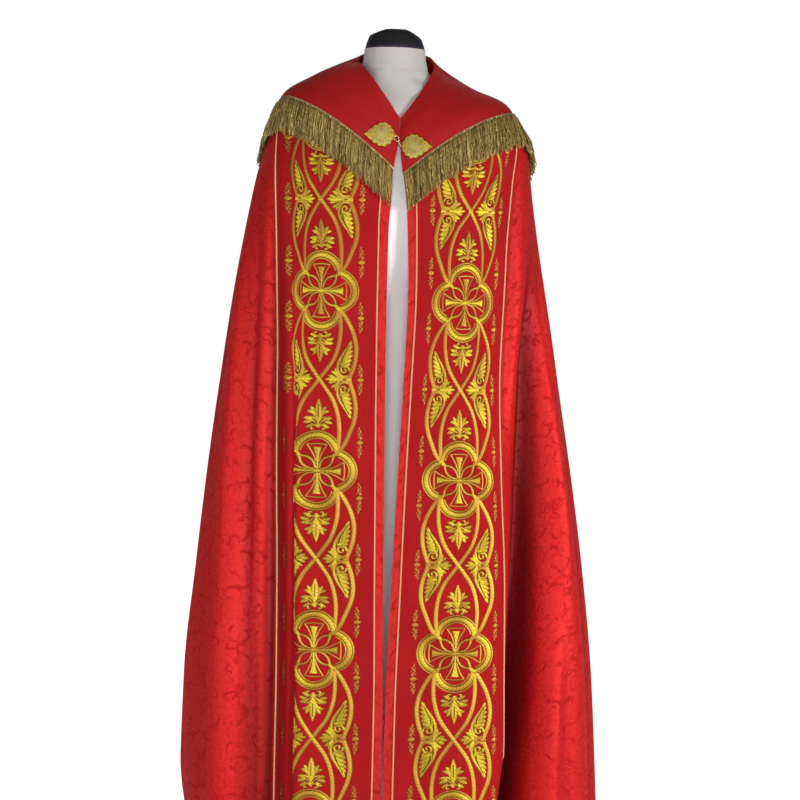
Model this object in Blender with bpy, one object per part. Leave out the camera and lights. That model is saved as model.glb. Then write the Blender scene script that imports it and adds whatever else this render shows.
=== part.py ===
"""A liturgical cope, worn open over a full-length limbless dress form.

The cloth is described by level rings. A level is the height of the cloth's front edge, from the neck
(NECK_LEVEL) to the hem (HEM_LEVEL), and a ring is the closed outline that the cloth follows at that level.
Every cloth piece is read from these rings: panels lie on them, and what is sewn on a panel is the same
surface moved out along its normal by a lift. Metres, +Z up, front towards -Y, origin on the floor.
"""

import math
from collections import namedtuple
from functools import lru_cache

import bpy
import bmesh
import numpy as np
from mathutils import Vector

# Driving sizes
WALL = 0.002                # damask, interlining and lining together
GAP = 0.0003                # clearance between pieces that touch
BAND_WALL = 0.0015          # orphrey band
EDGE_STRIP = 0.019          # damask left bare between the front edge and the orphrey band
BAND_WIDTH = 0.216          # orphrey band between the middles of its two piping cords
PIPING_RADIUS = 0.0015
COLLAR_WALL = 0.002
NECK_LEVEL = 1.466
LEFT_COLLAR_LEVEL = 1.362   # lower edge of the shoulder cape, left of the opening
RIGHT_COLLAR_LEVEL = 1.351  # lower edge of the shoulder cape, right of the opening
HOOD_POINT_LEVEL = 1.085    # lower edge of the shoulder cape at the middle of the back
BAND_TOP_LEVEL = 1.392      # orphrey bands end here, under the shoulder cape
YOKE_LEVEL = 1.367          # the shoulder cape follows the body's rows down to here
HEM_LEVEL = 0.040
FRINGE_LENGTH = 0.079
FRINGE_HEADER = 0.007       # height of the strip that carries the fringe
FRINGE_LOCKS = 220
FRINGE_FLARE = 0.0022       # the locks stand off the bands and cords by this much more
LOCK_HALF = 0.0024          # half a lock's width near its root
LOCK_THICKNESS = 0.0018
LOCK_CLEARANCE = 0.0006

# Lifts: distances of a surface from the middle of the cloth wall, outwards
WALL_TOP = WALL / 2
BAND_BOTTOM = WALL_TOP + GAP
BAND_TOP = BAND_BOTTOM + BAND_WALL
PIPING_MIDDLE = WALL_TOP + GAP + PIPING_RADIUS
COLLAR_AT_NECK = WALL_TOP + 2 * GAP
COLLAR_BOTTOM = PIPING_MIDDLE + PIPING_RADIUS + 3 * GAP
COLLAR_TOP = COLLAR_BOTTOM + COLLAR_WALL

BAND_REACH = EDGE_STRIP + BAND_WIDTH

# One row per level. z: height at the left side, right side and back. left, right, front, back: reach of the
# ring from the axis. left_edge, right_edge: x of the two front edges. left_band, right_band: from a front
# edge round to its band's outer cord. power: 2 is an ellipse, more is squarer. left_ease, right_ease: how
# soon the ring climbs from the front edge to the shoulder.
Level = namedtuple(
    "Level",
    "front_z left_z right_z back_z left right front back "
    "left_edge right_edge left_band right_band power left_ease right_ease",
)
LEVELS = [
    Level(1.466, 1.582, 1.576, 1.609, .074, .079, .100, .074, .0125, .0160, .127, .125, 2.0, 1.20, 0.75),
    Level(1.442, 1.572, 1.556, 1.587, .114, .102, .107, .085, .0120, .0163, .158, .152, 2.0, 1.25, 1.0),
    Level(1.410, 1.548, 1.533, 1.549, .164, .151, .116, .097, .0100, .0175, .200, .192, 2.0, 1.4, 1.3),
    Level(1.367, 1.515, 1.503, 1.499, .217, .223, .126, .109, .0040, .0215, .245, .242, 2.1, 1.5, 1.5),
    Level(1.330, 1.472, 1.462, 1.455, .237, .251, .132, .119, .0020, .0270, .245, .241, 2.2, 1.5, 1.5),
    Level(1.290, 1.425, 1.421, 1.411, .251, .272, .138, .129, .0010, .0320, .243, .239, 2.2, 1.5, 1.5),
    Level(1.230, 1.358, 1.356, 1.345, .269, .282, .145, .144, -.002, .0360, .236, .226, 2.3, 1.5, 1.5),
    Level(1.100, 1.214, 1.213, 1.202, .299, .304, .158, .180, -.002, .0400, .226, .211, 2.4, 1.5, 1.5),
    Level(0.920, 1.015, 1.014, 1.007, .330, .340, .176, .225, .0000, .0350, .221, .203, 2.5, 1.5, 1.5),
    Level(0.720, 0.794, 0.794, 0.790, .359, .379, .194, .268, .0040, .0280, .219, .210, 2.6, 1.5, 1.5),
    Level(0.520, 0.573, 0.573, 0.572, .384, .413, .212, .306, .0080, .0220, .218, .226, 2.6, 1.5, 1.5),
    Level(0.320, 0.353, 0.353, 0.354, .405, .439, .229, .338, .0125, .0175, .218, .235, 2.7, 1.5, 1.5),
    Level(0.160, 0.176, 0.176, 0.178, .407, .452, .241, .356, .0135, .0170, .219, .240, 2.7, 1.5, 1.5),
    Level(0.040, 0.044, 0.044, 0.045, .388, .460, .249, .364, .0140, .0170, .219, .243, 2.7, 1.5, 1.5),
]

# One row per fold, a valley pressed inwards. at: place round the cloth, 0 at the left band's outer edge and
# 1 at the right band's, round the back. half: half its width. depth: at the hem. start: level where it begins.
# lean: how far it drifts round the cloth on its way down.
Fold = namedtuple("Fold", "at half depth start lean")
FOLDS = [
    Fold(-.004, 0.022, 0.026, 1.320, 0.000),
    Fold(0.009, 0.011, 0.022, 1.330, 0.000),
    Fold(0.034, 0.012, 0.014, 1.280, 0.000),
    Fold(0.078, 0.024, 0.014, 1.050, 0.004),
    Fold(0.150, 0.044, 0.048, 1.060, 0.006),
    Fold(0.226, 0.036, 0.074, 1.240, 0.008),
    Fold(0.300, 0.040, 0.092, 1.150, 0.000),
    Fold(0.372, 0.034, 0.078, 1.260, -0.004),
    Fold(0.436, 0.034, 0.098, 1.120, 0.004),
    Fold(0.506, 0.038, 0.086, 1.220, 0.000),
    Fold(0.574, 0.032, 0.100, 1.140, -0.006),
    Fold(0.640, 0.036, 0.080, 1.250, 0.000),
    Fold(0.712, 0.038, 0.090, 1.100, -0.006),
    Fold(0.786, 0.040, 0.066, 1.200, 0.004),
    Fold(0.868, 0.044, 0.036, 0.980, 0.000),
    Fold(0.926, 0.024, 0.018, 1.150, 0.000),
    Fold(0.990, 0.027, 0.078, 1.330, 0.000),
]

# Seams of the damask body, as places round the cloth like a fold's
LEFT_SEAM = 0.262
RIGHT_SEAM = 0.750
SEAMS = (LEFT_SEAM, RIGHT_SEAM)

# Dress form, one row per height
FormRing = namedtuple("FormRing", "z half_width front back")
FORM_RINGS = [
    FormRing(1.6120, 0.0620, 0.0600, 0.0600),
    FormRing(1.5900, 0.0635, 0.0610, 0.0610),
    FormRing(1.5700, 0.0690, 0.0640, 0.0630),
    FormRing(1.5500, 0.0830, 0.0680, 0.0680),
    FormRing(1.5380, 0.1060, 0.0710, 0.0725),
    FormRing(1.5220, 0.1360, 0.0760, 0.0790),
    FormRing(1.5030, 0.1660, 0.0820, 0.0870),
    FormRing(1.4780, 0.1880, 0.0890, 0.0950),
    FormRing(1.4400, 0.2000, 0.1000, 0.1050),
    FormRing(1.3900, 0.2050, 0.1110, 0.1140),
    FormRing(1.3100, 0.1990, 0.1210, 0.1190),
    FormRing(1.2000, 0.1810, 0.1240, 0.1100),
    FormRing(1.0800, 0.1580, 0.1100, 0.0980),
    FormRing(0.9600, 0.1660, 0.1120, 0.1080),
    FormRing(0.8400, 0.1780, 0.1200, 0.1240),
    FormRing(0.6500, 0.1700, 0.1190, 0.1220),
    FormRing(0.4000, 0.1600, 0.1180, 0.1200),
    FormRing(0.1000, 0.1500, 0.1160, 0.1180),
]
FORM_SIDES = 32
CAP_HEIGHT = 0.038
POLE_RADIUS = 0.030
BASE_RADIUS = 0.200
BASE_HEIGHT = 0.018

# Clasp
MEDALLION_LENGTH = 0.062
MEDALLION_WIDTH = 0.049
MEDALLION_THICKNESS = 0.0022
MEDALLION_STANDOFF = 0.0009
WIRE_RADIUS = 0.0009
EYE_HALF_LENGTH = 0.0062
EYE_HALF_WIDTH = 0.0040


# ---------------------------------------------------------------- rings and folds


def eased(at, places, values):
    """Monotone cubic through the table's values, so that the cloth has no kinks between rows."""
    at = np.clip(at, places[0], places[-1])
    steps = np.diff(places)
    slopes = np.diff(values) / steps
    tangents = np.empty(len(values))
    tangents[0], tangents[-1] = slopes[0], slopes[-1]
    for i in range(1, len(values) - 1):
        a, b = slopes[i - 1], slopes[i]
        tangents[i] = 0.0 if a * b <= 0 else 2 * a * b / (a + b)
    i = int(np.clip(np.searchsorted(places, at) - 1, 0, len(steps) - 1))
    t = (at - places[i]) / steps[i]
    h = steps[i]
    return (
        (1 + 2 * t) * (1 - t) ** 2 * values[i]
        + t * (1 - t) ** 2 * h * tangents[i]
        + t * t * (3 - 2 * t) * values[i + 1]
        + t * t * (t - 1) * h * tangents[i + 1]
    )


DOWN = [-row.front_z for row in LEVELS]
COLUMNS = {name: np.array([getattr(row, name) for row in LEVELS]) for name in Level._fields}


def smoothstep(t):
    t = min(max(t, 0.0), 1.0)
    return t * t * (3 - 2 * t)


def fold_depth(place, level):
    """How far the folds press the cloth in, at a place round it and a level."""
    depth = np.zeros_like(place)
    for fold in FOLDS:
        grown = (fold.start - level) / (fold.start - HEM_LEVEL)
        if grown <= 0:
            continue
        away = np.abs(place - fold.at - fold.lean * grown) / fold.half
        valley = np.where(away < 1, (0.5 + 0.5 * np.cos(math.pi * away)) ** 1.25, 0)
        depth += fold.depth * smoothstep(3 * grown) * grown**0.75 * valley
    return depth


Ring = namedtuple("Ring", "along points length left_band right_band")


@lru_cache(maxsize=None)
def ring_at(level, folded):
    """The cloth's outline at a level, from the left front edge round the back to the right front edge."""
    row = Level(*(eased(-level, DOWN, COLUMNS[name]) for name in Level._fields))
    turn = np.linspace(-0.5, 2 * math.pi + 0.5, 1800)
    side = np.where(np.sin(turn) > 0, row.left, row.right)
    depth = np.where(np.cos(turn) > 0, row.front, row.back)
    radius = (
        np.abs(np.sin(turn) / side) ** row.power + np.abs(np.cos(turn) / depth) ** row.power
    ) ** (-1 / row.power)
    x = -radius * np.sin(turn)
    y = -radius * np.cos(turn)
    near_start = turn < 0.5
    near_end = turn > 2 * math.pi - 0.5
    first = np.interp(-row.left_edge, -x[near_start], turn[near_start])
    last = np.interp(-row.right_edge, -x[near_end], turn[near_end])
    turn_kept = np.linspace(first, last, 1500)
    x = np.interp(turn_kept, turn, x)
    y = np.interp(turn_kept, turn, y)

    middle = (row.left_edge + row.right_edge) / 2
    side_z = np.where(x < 0, row.left_z, row.right_z)
    outward = np.where(x < middle, (middle - x) / (middle + row.left), (x - middle) / (row.right - middle))
    climb = np.clip(1 - outward, 0, 1) ** np.where(x < middle, row.left_ease, row.right_ease)
    z_front = side_z - (side_z - row.front_z) * climb
    behind = np.clip(y / row.back, 0, 1)
    z_back = side_z + (row.back_z - side_z) * behind * (2 - behind)
    z = np.where(y < 0, z_front, z_back)

    plan = np.concatenate([[0], np.cumsum(np.hypot(np.diff(x), np.diff(y)))])
    length = plan[-1]
    if folded:
        place = (plan - row.left_band) / (length - row.left_band - row.right_band)
        depth = fold_depth(place, level)
        tangent_x, tangent_y = np.gradient(x, plan), np.gradient(y, plan)
        size = np.hypot(tangent_x, tangent_y)
        # The ring runs clockwise seen from above, so its outward normal is the tangent turned left.
        x = x + depth * tangent_y / size
        y = y - depth * tangent_x / size
    return Ring(plan, np.stack([x, y, z], axis=1), length, row.left_band, row.right_band)


def distance_of(column, ring):
    """A column is a kind, a value and a shift in metres. Left and right are widths from a front edge, and
    wrap is a place round the cloth from one band to the other."""
    kind, value, shift = column
    if kind == "left":
        return value * ring.left_band / BAND_REACH + shift
    if kind == "right":
        return ring.length - value * ring.right_band / BAND_REACH + shift
    return ring.left_band + value * (ring.length - ring.left_band - ring.right_band) + shift


def read(level, column, folded, shift=0.0):
    ring = ring_at(round(level, 6), folded)
    at = distance_of(column, ring) + shift
    return np.array([np.interp(at, ring.along, ring.points[:, k]) for k in range(3)])


def cloth(level, column, lift=0.0, folded=True):
    """A point on the cloth, lifted off the middle of its wall."""
    here = read(level, column, folded)
    if not lift:
        return here
    ring = ring_at(round(level, 6), folded)
    at = distance_of(column, ring)
    back, ahead = min(0.002, at), min(0.002, ring.length - at)
    across = read(level, column, folded, ahead) - read(level, column, folded, -back)
    above, below = min(level + 0.004, NECK_LEVEL), max(level - 0.004, HEM_LEVEL)
    down = read(below, column, folded) - read(above, column, folded)
    normal = np.cross(across, down)
    return here + normal / np.linalg.norm(normal) * lift


# ---------------------------------------------------------------- meshes and objects


def add_object(name, mesh, material):
    mesh.materials.append(material)
    made = bpy.data.objects.new(name, mesh)
    bpy.context.scene.collection.objects.link(made)
    made.parent = garment if material.name not in FORM_MATERIALS else form
    return made


def material(name, color, roughness, metallic=0.0):
    made = bpy.data.materials.new(name)
    made.use_nodes = True
    shader = made.node_tree.nodes["Principled BSDF"]
    shader.inputs["Base Color"].default_value = (*color, 1)
    shader.inputs["Roughness"].default_value = roughness
    shader.inputs["Metallic"].default_value = metallic
    return made


def finish(name, work, surface, smooth_angle=50):
    bmesh.ops.recalc_face_normals(work, faces=work.faces)
    mesh = bpy.data.meshes.new(name)
    work.to_mesh(mesh)
    work.free()
    mesh.shade_smooth()
    mesh.set_sharp_from_angle(angle=math.radians(smooth_angle))
    return add_object(name, mesh, surface)


def wall(name, outer, inner, surface):
    """A closed wall between two grids of points. A row may meet the one above it, where a point repeats."""
    work = bmesh.new()
    front, rear = [], []
    for i, (outer_row, inner_row) in enumerate(zip(outer, inner)):
        front.append([])
        rear.append([])
        for j, (spot, under) in enumerate(zip(outer_row, inner_row)):
            if i and np.linalg.norm(spot - outer[i - 1][j]) < 1e-6:
                front[i].append(front[i - 1][j])
                rear[i].append(rear[i - 1][j])
            else:
                front[i].append(work.verts.new(spot))
                rear[i].append(work.verts.new(under))
    under_of = {a: b for row, under in zip(front, rear) for a, b in zip(row, under)}
    for i in range(len(front) - 1):
        for j in range(len(front[0]) - 1):
            a, b, c, d = front[i][j], front[i + 1][j], front[i + 1][j + 1], front[i][j + 1]
            for corners in ((a, b, c), (a, c, d)):
                if len(set(corners)) == 3:
                    work.faces.new(corners)
                    work.faces.new([under_of[corner] for corner in reversed(corners)])
    rim = [edge for edge in work.edges if edge.is_boundary and edge.verts[0] in under_of]
    for edge in rim:
        a, b = edge.verts
        work.faces.new((a, b, under_of[b], under_of[a]))
    return finish(name, work, surface)


def panel(name, levels, columns, bottom, top, surface, folded=True):
    """A wall on the cloth between two lifts."""
    outer = [[cloth(level, column, top, folded) for column in columns] for level in levels]
    inner = [[cloth(level, column, bottom, folded) for column in columns] for level in levels]
    return wall(name, outer, inner, surface)


def rounded_level(level):
    return round(level, 4)


# ---------------------------------------------------------------- garment

BODY_LEVELS = [1.466, 1.450, 1.428, 1.392, 1.367, 1.332, 1.290, 1.240, 1.170,
               1.080, 0.970, 0.850, 0.720, 0.580, 0.440, 0.300, 0.170, 0.040]
BAND_INNER = EDGE_STRIP + PIPING_RADIUS + GAP
BAND_OUTER = BAND_REACH - PIPING_RADIUS - GAP
BAND_STEPS = [0.0, BAND_INNER, 0.066, 0.110, 0.150, 0.186, 0.214, BAND_OUTER]


# Places next to the bands, where the folds are narrow
NEAR_LEFT_BAND = [0.0, 0.005, 0.010, 0.015, 0.021, 0.027, 0.033, 0.042, 0.052]
NEAR_RIGHT_BAND = [0.948, 0.960, 0.969, 0.977, 0.984, 0.992, 1.0]


def body_columns():
    """Every column of the damask body, and the numbers of the two that are seams."""
    between = [place for place in np.linspace(NEAR_LEFT_BAND[-1], LEFT_SEAM, 17)[1:-1]]
    behind = [place for place in np.linspace(LEFT_SEAM, RIGHT_SEAM, 39)]
    after = [place for place in np.linspace(RIGHT_SEAM, NEAR_RIGHT_BAND[0], 17)[1:-1]]
    places = NEAR_LEFT_BAND + between + behind + after + NEAR_RIGHT_BAND
    columns = [("left", d, 0.0) for d in BAND_STEPS]
    columns += [("wrap", place, 0.0) for place in places]
    columns += [("right", d, 0.0) for d in reversed(BAND_STEPS)]
    seams = [columns.index(("wrap", place, 0.0)) for place in SEAMS]
    return columns, seams


def build_body(damask):
    """Three widths of damask, seamed at the back of each shoulder."""
    columns, (left_seam, right_seam) = body_columns()
    ends = [0, left_seam, right_seam, len(columns) - 1]
    for name, start, end in zip(("body_left", "body_back", "body_right"), ends, ends[1:]):
        part = columns[start : end + 1]
        if start:
            part[0] = part[0][:2] + (GAP * 0.55,)
        if end < len(columns) - 1:
            part[-1] = part[-1][:2] + (-GAP * 0.55,)
        panel(name, BODY_LEVELS, part, -WALL_TOP, WALL_TOP, damask)


def build_orphreys(velvet):
    """The two embroidered bands, laid on the damask a little in from each front edge."""
    levels = [level for level in BODY_LEVELS if level <= BAND_TOP_LEVEL]
    for side in ("left", "right"):
        steps = BAND_STEPS[1:] if side == "left" else BAND_STEPS[:0:-1]
        columns = [(side, d, 0.0) for d in steps]
        panel("orphrey_" + side, levels, columns, BAND_BOTTOM, BAND_TOP, velvet)


def build_piping(thread):
    """A cord along each long edge of both bands."""
    levels = [level for level in BODY_LEVELS if level <= BAND_TOP_LEVEL]
    for side in ("left", "right"):
        for edge, distance in (("inner", EDGE_STRIP), ("outer", BAND_REACH)):
            points = [cloth(level, (side, distance, 0.0), PIPING_MIDDLE) for level in levels]
            points[-1][2] += 0.001
            tube(f"piping_{side}_{edge}", points, PIPING_RADIUS, 1, thread)


def tube(name, points, radius, resolution, surface, closed=False):
    curve = bpy.data.curves.new(name, "CURVE")
    curve.dimensions = "3D"
    curve.bevel_depth = radius
    curve.bevel_resolution = resolution
    curve.use_fill_caps = not closed
    spline = curve.splines.new("POLY")
    spline.points.add(len(points) - 1)
    for spot, place in zip(spline.points, points):
        spot.co = (*place, 1)
    spline.use_cyclic_u = closed
    return add_object(name, curve, surface)


def collar_edge(share):
    """Level of the shoulder cape's lower edge: level at the front, then down to the hood's point behind."""
    towards_back = (0.5 - abs(share - 0.5) - 0.215) / 0.285
    side = RIGHT_COLLAR_LEVEL + (LEFT_COLLAR_LEVEL - RIGHT_COLLAR_LEVEL) * (1 - smoothstep(2 * share - 0.5))
    if towards_back <= 0:
        return side
    fall = 0.55 * towards_back**1.6 + 0.45 * towards_back
    return side - (side - HOOD_POINT_LEVEL) * fall


def collar_lift(level):
    """The shoulder cape is sewn down at the neck and clears the bands and cords further out."""
    return COLLAR_AT_NECK + (COLLAR_BOTTOM - COLLAR_AT_NECK) * smoothstep((NECK_LEVEL - level) / 0.045)


def collar_columns():
    """The body's columns at the bands and every second one of the others, so that the cape lies along it."""
    columns, _ = body_columns()
    first, last = len(BAND_STEPS), len(columns) - len(BAND_STEPS) - 1
    return columns[:first] + columns[first : last + 1 : 2] + columns[last + 1 :]


def share_at(column, level):
    ring = ring_at(round(level, 6), False)
    return distance_of(column, ring) / ring.length


def collar_edge_level(column):
    """Where a column of cloth meets the shoulder cape's lower edge."""
    level = RIGHT_COLLAR_LEVEL
    for _ in range(8):
        level = 0.5 * level + 0.5 * collar_edge(share_at(column, level))
    return level


def build_collar(damask):
    """The shoulder cape that carries the fringe, with its hood point at the back. Returns its lower edge."""
    columns = collar_columns()
    edges = [collar_edge_level(column) for column in columns]
    above = [level for level in BODY_LEVELS if level > YOKE_LEVEL]
    outer, inner = [], []
    for step in range(len(above) + 5):
        levels = []
        for edge in edges:
            below = YOKE_LEVEL - (YOKE_LEVEL - edge) * (step - len(above)) / 4
            levels.append(above[step] if step < len(above) else below)
        lifts = [collar_lift(level) for level in levels]
        outer.append(
            [
                cloth(level, column, lift + COLLAR_WALL, folded=False)
                for level, column, lift in zip(levels, columns, lifts)
            ]
        )
        inner.append(
            [cloth(level, column, lift, folded=False) for level, column, lift in zip(levels, columns, lifts)]
        )
    wall("collar", outer, inner, damask)
    hanging = []
    for column, edge, outer_spot, inner_spot in zip(columns, edges, outer[-1], inner[-1]):
        below = cloth(edge - 0.09, column, COLLAR_BOTTOM + FRINGE_FLARE, folded=False)
        half_way = cloth(edge - 0.045, column, COLLAR_BOTTOM + FRINGE_FLARE, folded=False)
        hanging.append(Hanging(outer_spot, inner_spot, half_way, below))
    return hanging


# The shoulder cape's lower edge at one column: its outer and inner corner, and two points of the cloth's
# envelope under it.
Hanging = namedtuple("Hanging", "outer inner half_way below")


def along_edge(hanging, count):
    """The lower edge at an even pitch, read along the straight stretches between its columns."""
    spots = [np.array(field) for field in zip(*hanging)]
    steps = np.linalg.norm(np.diff(spots[0], axis=0), axis=1)
    along = np.concatenate([[0], np.cumsum(steps)])
    tip = along[int(np.argmin(spots[0][:, 2]))]
    half = (count + 1) // 2
    places = np.concatenate([np.linspace(0, tip, half), np.linspace(tip, along[-1], half)[1:]])
    fields = [np.stack([np.interp(places, along, field[:, k]) for k in range(3)], axis=1) for field in spots]
    return [Hanging(*row) for row in zip(*fields)]


def build_fringe(hanging, gold):
    """A header strip just below the collar's edge, with three-sided locks hanging from its underside."""
    spots = along_edge(hanging, FRINGE_LOCKS + 1)
    front_top, front_low, rear_top, rear_low = [], [], [], []
    work = bmesh.new()
    for spot in spots:
        down = spot.half_way - spot.inner
        down = down / np.linalg.norm(down)
        front_top.append(work.verts.new(spot.outer + down * GAP * 1.4))
        front_low.append(work.verts.new(spot.outer + down * FRINGE_HEADER))
        rear_top.append(work.verts.new(spot.inner + down * GAP * 1.4))
        rear_low.append(work.verts.new(spot.inner + down * FRINGE_HEADER))
    last = len(spots) - 1
    for i in range(last):
        work.faces.new((front_top[i], front_low[i], front_low[i + 1], front_top[i + 1]))
        work.faces.new((rear_top[i], rear_top[i + 1], rear_low[i + 1], rear_low[i]))
        work.faces.new((front_top[i], front_top[i + 1], rear_top[i + 1], rear_top[i]))
        work.faces.new((rear_low[i], rear_low[i + 1], front_low[i + 1]))
        root = (front_low[i], rear_low[i], front_low[i + 1])
        build_lock(work, spots[i], spots[i + 1], root, i)
    work.faces.new((front_top[0], rear_top[0], rear_low[0], front_low[0]))
    work.faces.new((front_top[last], front_low[last], rear_low[last], rear_top[last]))
    finish("fringe", work, gold, smooth_angle=80)


def build_lock(work, here, there, root, index):
    """One lock: a tapering three-sided strand in two stretches from its root triangle."""
    uneven = 1 + 0.06 * math.sin(index * 2.4) + 0.04 * math.sin(index * 5.1)
    across = Vector(there.outer - here.outer).normalized()
    start = Vector(here.inner + there.inner) / 2
    half_way = Vector(here.half_way + there.half_way) / 2
    below = Vector(here.below + there.below) / 2
    rings = [root]
    for reach, scale in ((0.5, 0.80), (1.0, 0.55)):
        length = FRINGE_LENGTH * uneven * reach
        stretch = (half_way - start).length
        if length < stretch:
            spot = start.lerp(half_way, length / stretch)
            down = (half_way - start).normalized()
        else:
            spot = half_way + (below - half_way).normalized() * (length - stretch)
            down = (below - half_way).normalized()
        side = (across - down * across.dot(down)).normalized()
        out = side.cross(down)
        spot = spot + out * LOCK_CLEARANCE
        rings.append(
            (
                work.verts.new(spot - side * LOCK_HALF * scale + out * LOCK_THICKNESS * scale),
                work.verts.new(spot),
                work.verts.new(spot + side * LOCK_HALF * scale + out * LOCK_THICKNESS * scale),
            )
        )
    for upper, lower in zip(rings, rings[1:]):
        for k in range(3):
            m = (k + 1) % 3
            work.faces.new((upper[k], upper[m], lower[m], lower[k]))
    work.faces.new(rings[-1])


# ---------------------------------------------------------------- clasp

# distance: from the front edge to the leaf's middle
Medallion = namedtuple("Medallion", "side distance level")
MEDALLIONS = [
    Medallion("left", 0.0360, 1.394),
    Medallion("right", 0.0290, 1.376),
]
# Half of a spade-shaped leaf's lobed rim, from its tip to its other end, in a square of side 2
LeafSpot = namedtuple("LeafSpot", "along across")
LEAF_RIM = [
    LeafSpot(1.00, 0.00),
    LeafSpot(0.78, 0.16),
    LeafSpot(0.68, 0.36),
    LeafSpot(0.46, 0.44),
    LeafSpot(0.38, 0.68),
    LeafSpot(0.14, 0.72),
    LeafSpot(0.02, 0.94),
    LeafSpot(-0.18, 0.90),
    LeafSpot(-0.36, 1.00),
    LeafSpot(-0.52, 0.80),
    LeafSpot(-0.72, 0.72),
    LeafSpot(-0.76, 0.48),
    LeafSpot(-0.93, 0.32),
    LeafSpot(-0.90, 0.12),
    LeafSpot(-1.00, 0.00),
]


def leaf_outline():
    upper = [(spot.along, spot.across) for spot in LEAF_RIM]
    return upper + [(along, -across) for along, across in upper[-2:0:-1]]


def on_collar(medallion, along, up, stand_off):
    """A point over the shoulder cape, a way along and up from a medallion's middle."""

    def place(distance, level):
        lift = collar_lift(level) + COLLAR_WALL + stand_off
        return cloth(level, (medallion.side, distance, 0.0), lift, folded=False)

    distance, level = medallion.distance, medallion.level
    per_distance = (place(distance + 0.004, level) - place(distance - 0.004, level)) / 0.008
    per_level = (place(distance, level + 0.004) - place(distance, level - 0.004)) / 0.008
    wanted = np.array([along, 0.0, up])
    table = np.stack([per_distance[[0, 2]], per_level[[0, 2]]], axis=1)
    move = np.linalg.solve(table, wanted[[0, 2]])
    return place(distance + move[0], level + move[1])


def build_medallion(medallion, gold):
    """A gold leaf that follows the shoulder cape. Returns the middle of its rim's end at the front edge."""
    outwards = -1 if medallion.side == "left" else 1
    outline = leaf_outline()
    work = bmesh.new()
    faces = []
    for stand_off in (MEDALLION_STANDOFF, MEDALLION_STANDOFF + MEDALLION_THICKNESS):
        rings = []
        for scale in (1.0, 0.55):
            ring = []
            for a, b in outline:
                along = outwards * a * scale * MEDALLION_LENGTH / 2
                up = b * scale * MEDALLION_WIDTH / 2
                ring.append(work.verts.new(on_collar(medallion, along, up, stand_off)))
            rings.append(ring)
        middle = work.verts.new(on_collar(medallion, 0.0, 0.0, stand_off))
        faces.append((rings[0], rings[1], middle))
    for i in range(len(outline)):
        k = (i + 1) % len(outline)
        for rim, inner, middle in faces:
            work.faces.new((rim[i], rim[k], inner[k]))
            work.faces.new((rim[i], inner[k], inner[i]))
            work.faces.new((inner[i], inner[k], middle))
        work.faces.new((faces[0][0][i], faces[0][0][k], faces[1][0][k], faces[1][0][i]))
    finish("medallion_" + medallion.side, work, gold, smooth_angle=30)
    half = MEDALLION_STANDOFF + MEDALLION_THICKNESS / 2
    return Vector(on_collar(medallion, -outwards * MEDALLION_LENGTH / 2, 0.0, half))


def build_clasp(gold, metal):
    """Two leaf medallions with an eye at the left one and a hook at the right one, fastened."""
    left_end, right_end = [build_medallion(medallion, gold) for medallion in MEDALLIONS]
    along = (right_end - left_end).normalized()
    normal = Vector((0, -1, 0))
    normal = (normal - along * normal.dot(along)).normalized()
    side = along.cross(normal)
    eye = left_end + along * (EYE_HALF_LENGTH + WIRE_RADIUS + 1.8 * GAP)
    turns = [2 * math.pi * i / 16 for i in range(16)]
    loop = [
        eye + along * math.cos(t) * EYE_HALF_LENGTH + side * math.sin(t) * EYE_HALF_WIDTH for t in turns
    ]
    tube("clasp_eye", loop, WIRE_RADIUS, 0, metal, closed=True)
    # The hook comes over the end of the eye, turns inside it and returns under it.
    bend = ((0.0036, 0.0010), (0.0016, 0.0023), (0.0, 0.0025), (-0.0022, 0.0016), (-0.0028, 0.0),
            (-0.0022, -0.0016), (0.0, -0.0025), (0.0014, -0.0025))
    eye_end = eye + along * EYE_HALF_LENGTH
    wire = [eye_end + along * a + normal * n for a, n in bend]
    tube("clasp_hook", [right_end - along * 1.6 * GAP] + wire, WIRE_RADIUS, 0, metal)


# ---------------------------------------------------------------- dress form


def form_outline(row):
    spots = []
    for i in range(FORM_SIDES):
        turn = 2 * math.pi * i / FORM_SIDES
        depth = row.front if math.cos(turn) > 0 else row.back
        spots.append((row.half_width * math.sin(turn), -depth * math.cos(turn), row.z))
    return spots


def loft(name, outlines, surface, smooth_angle=40):
    """A closed solid through outlines of equal count, with flat ends."""
    work = bmesh.new()
    rings = [[work.verts.new(spot) for spot in outline] for outline in outlines]
    for upper, lower in zip(rings, rings[1:]):
        count = len(upper)
        for i in range(count):
            k = (i + 1) % count
            work.faces.new((upper[i], upper[k], lower[k], lower[i]))
    work.faces.new(rings[0])
    work.faces.new(rings[-1])
    return finish(name, work, surface, smooth_angle)


def circle(radius, z):
    return [
        (radius * math.sin(2 * math.pi * i / FORM_SIDES), -radius * math.cos(2 * math.pi * i / FORM_SIDES), z)
        for i in range(FORM_SIDES)
    ]


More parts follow.
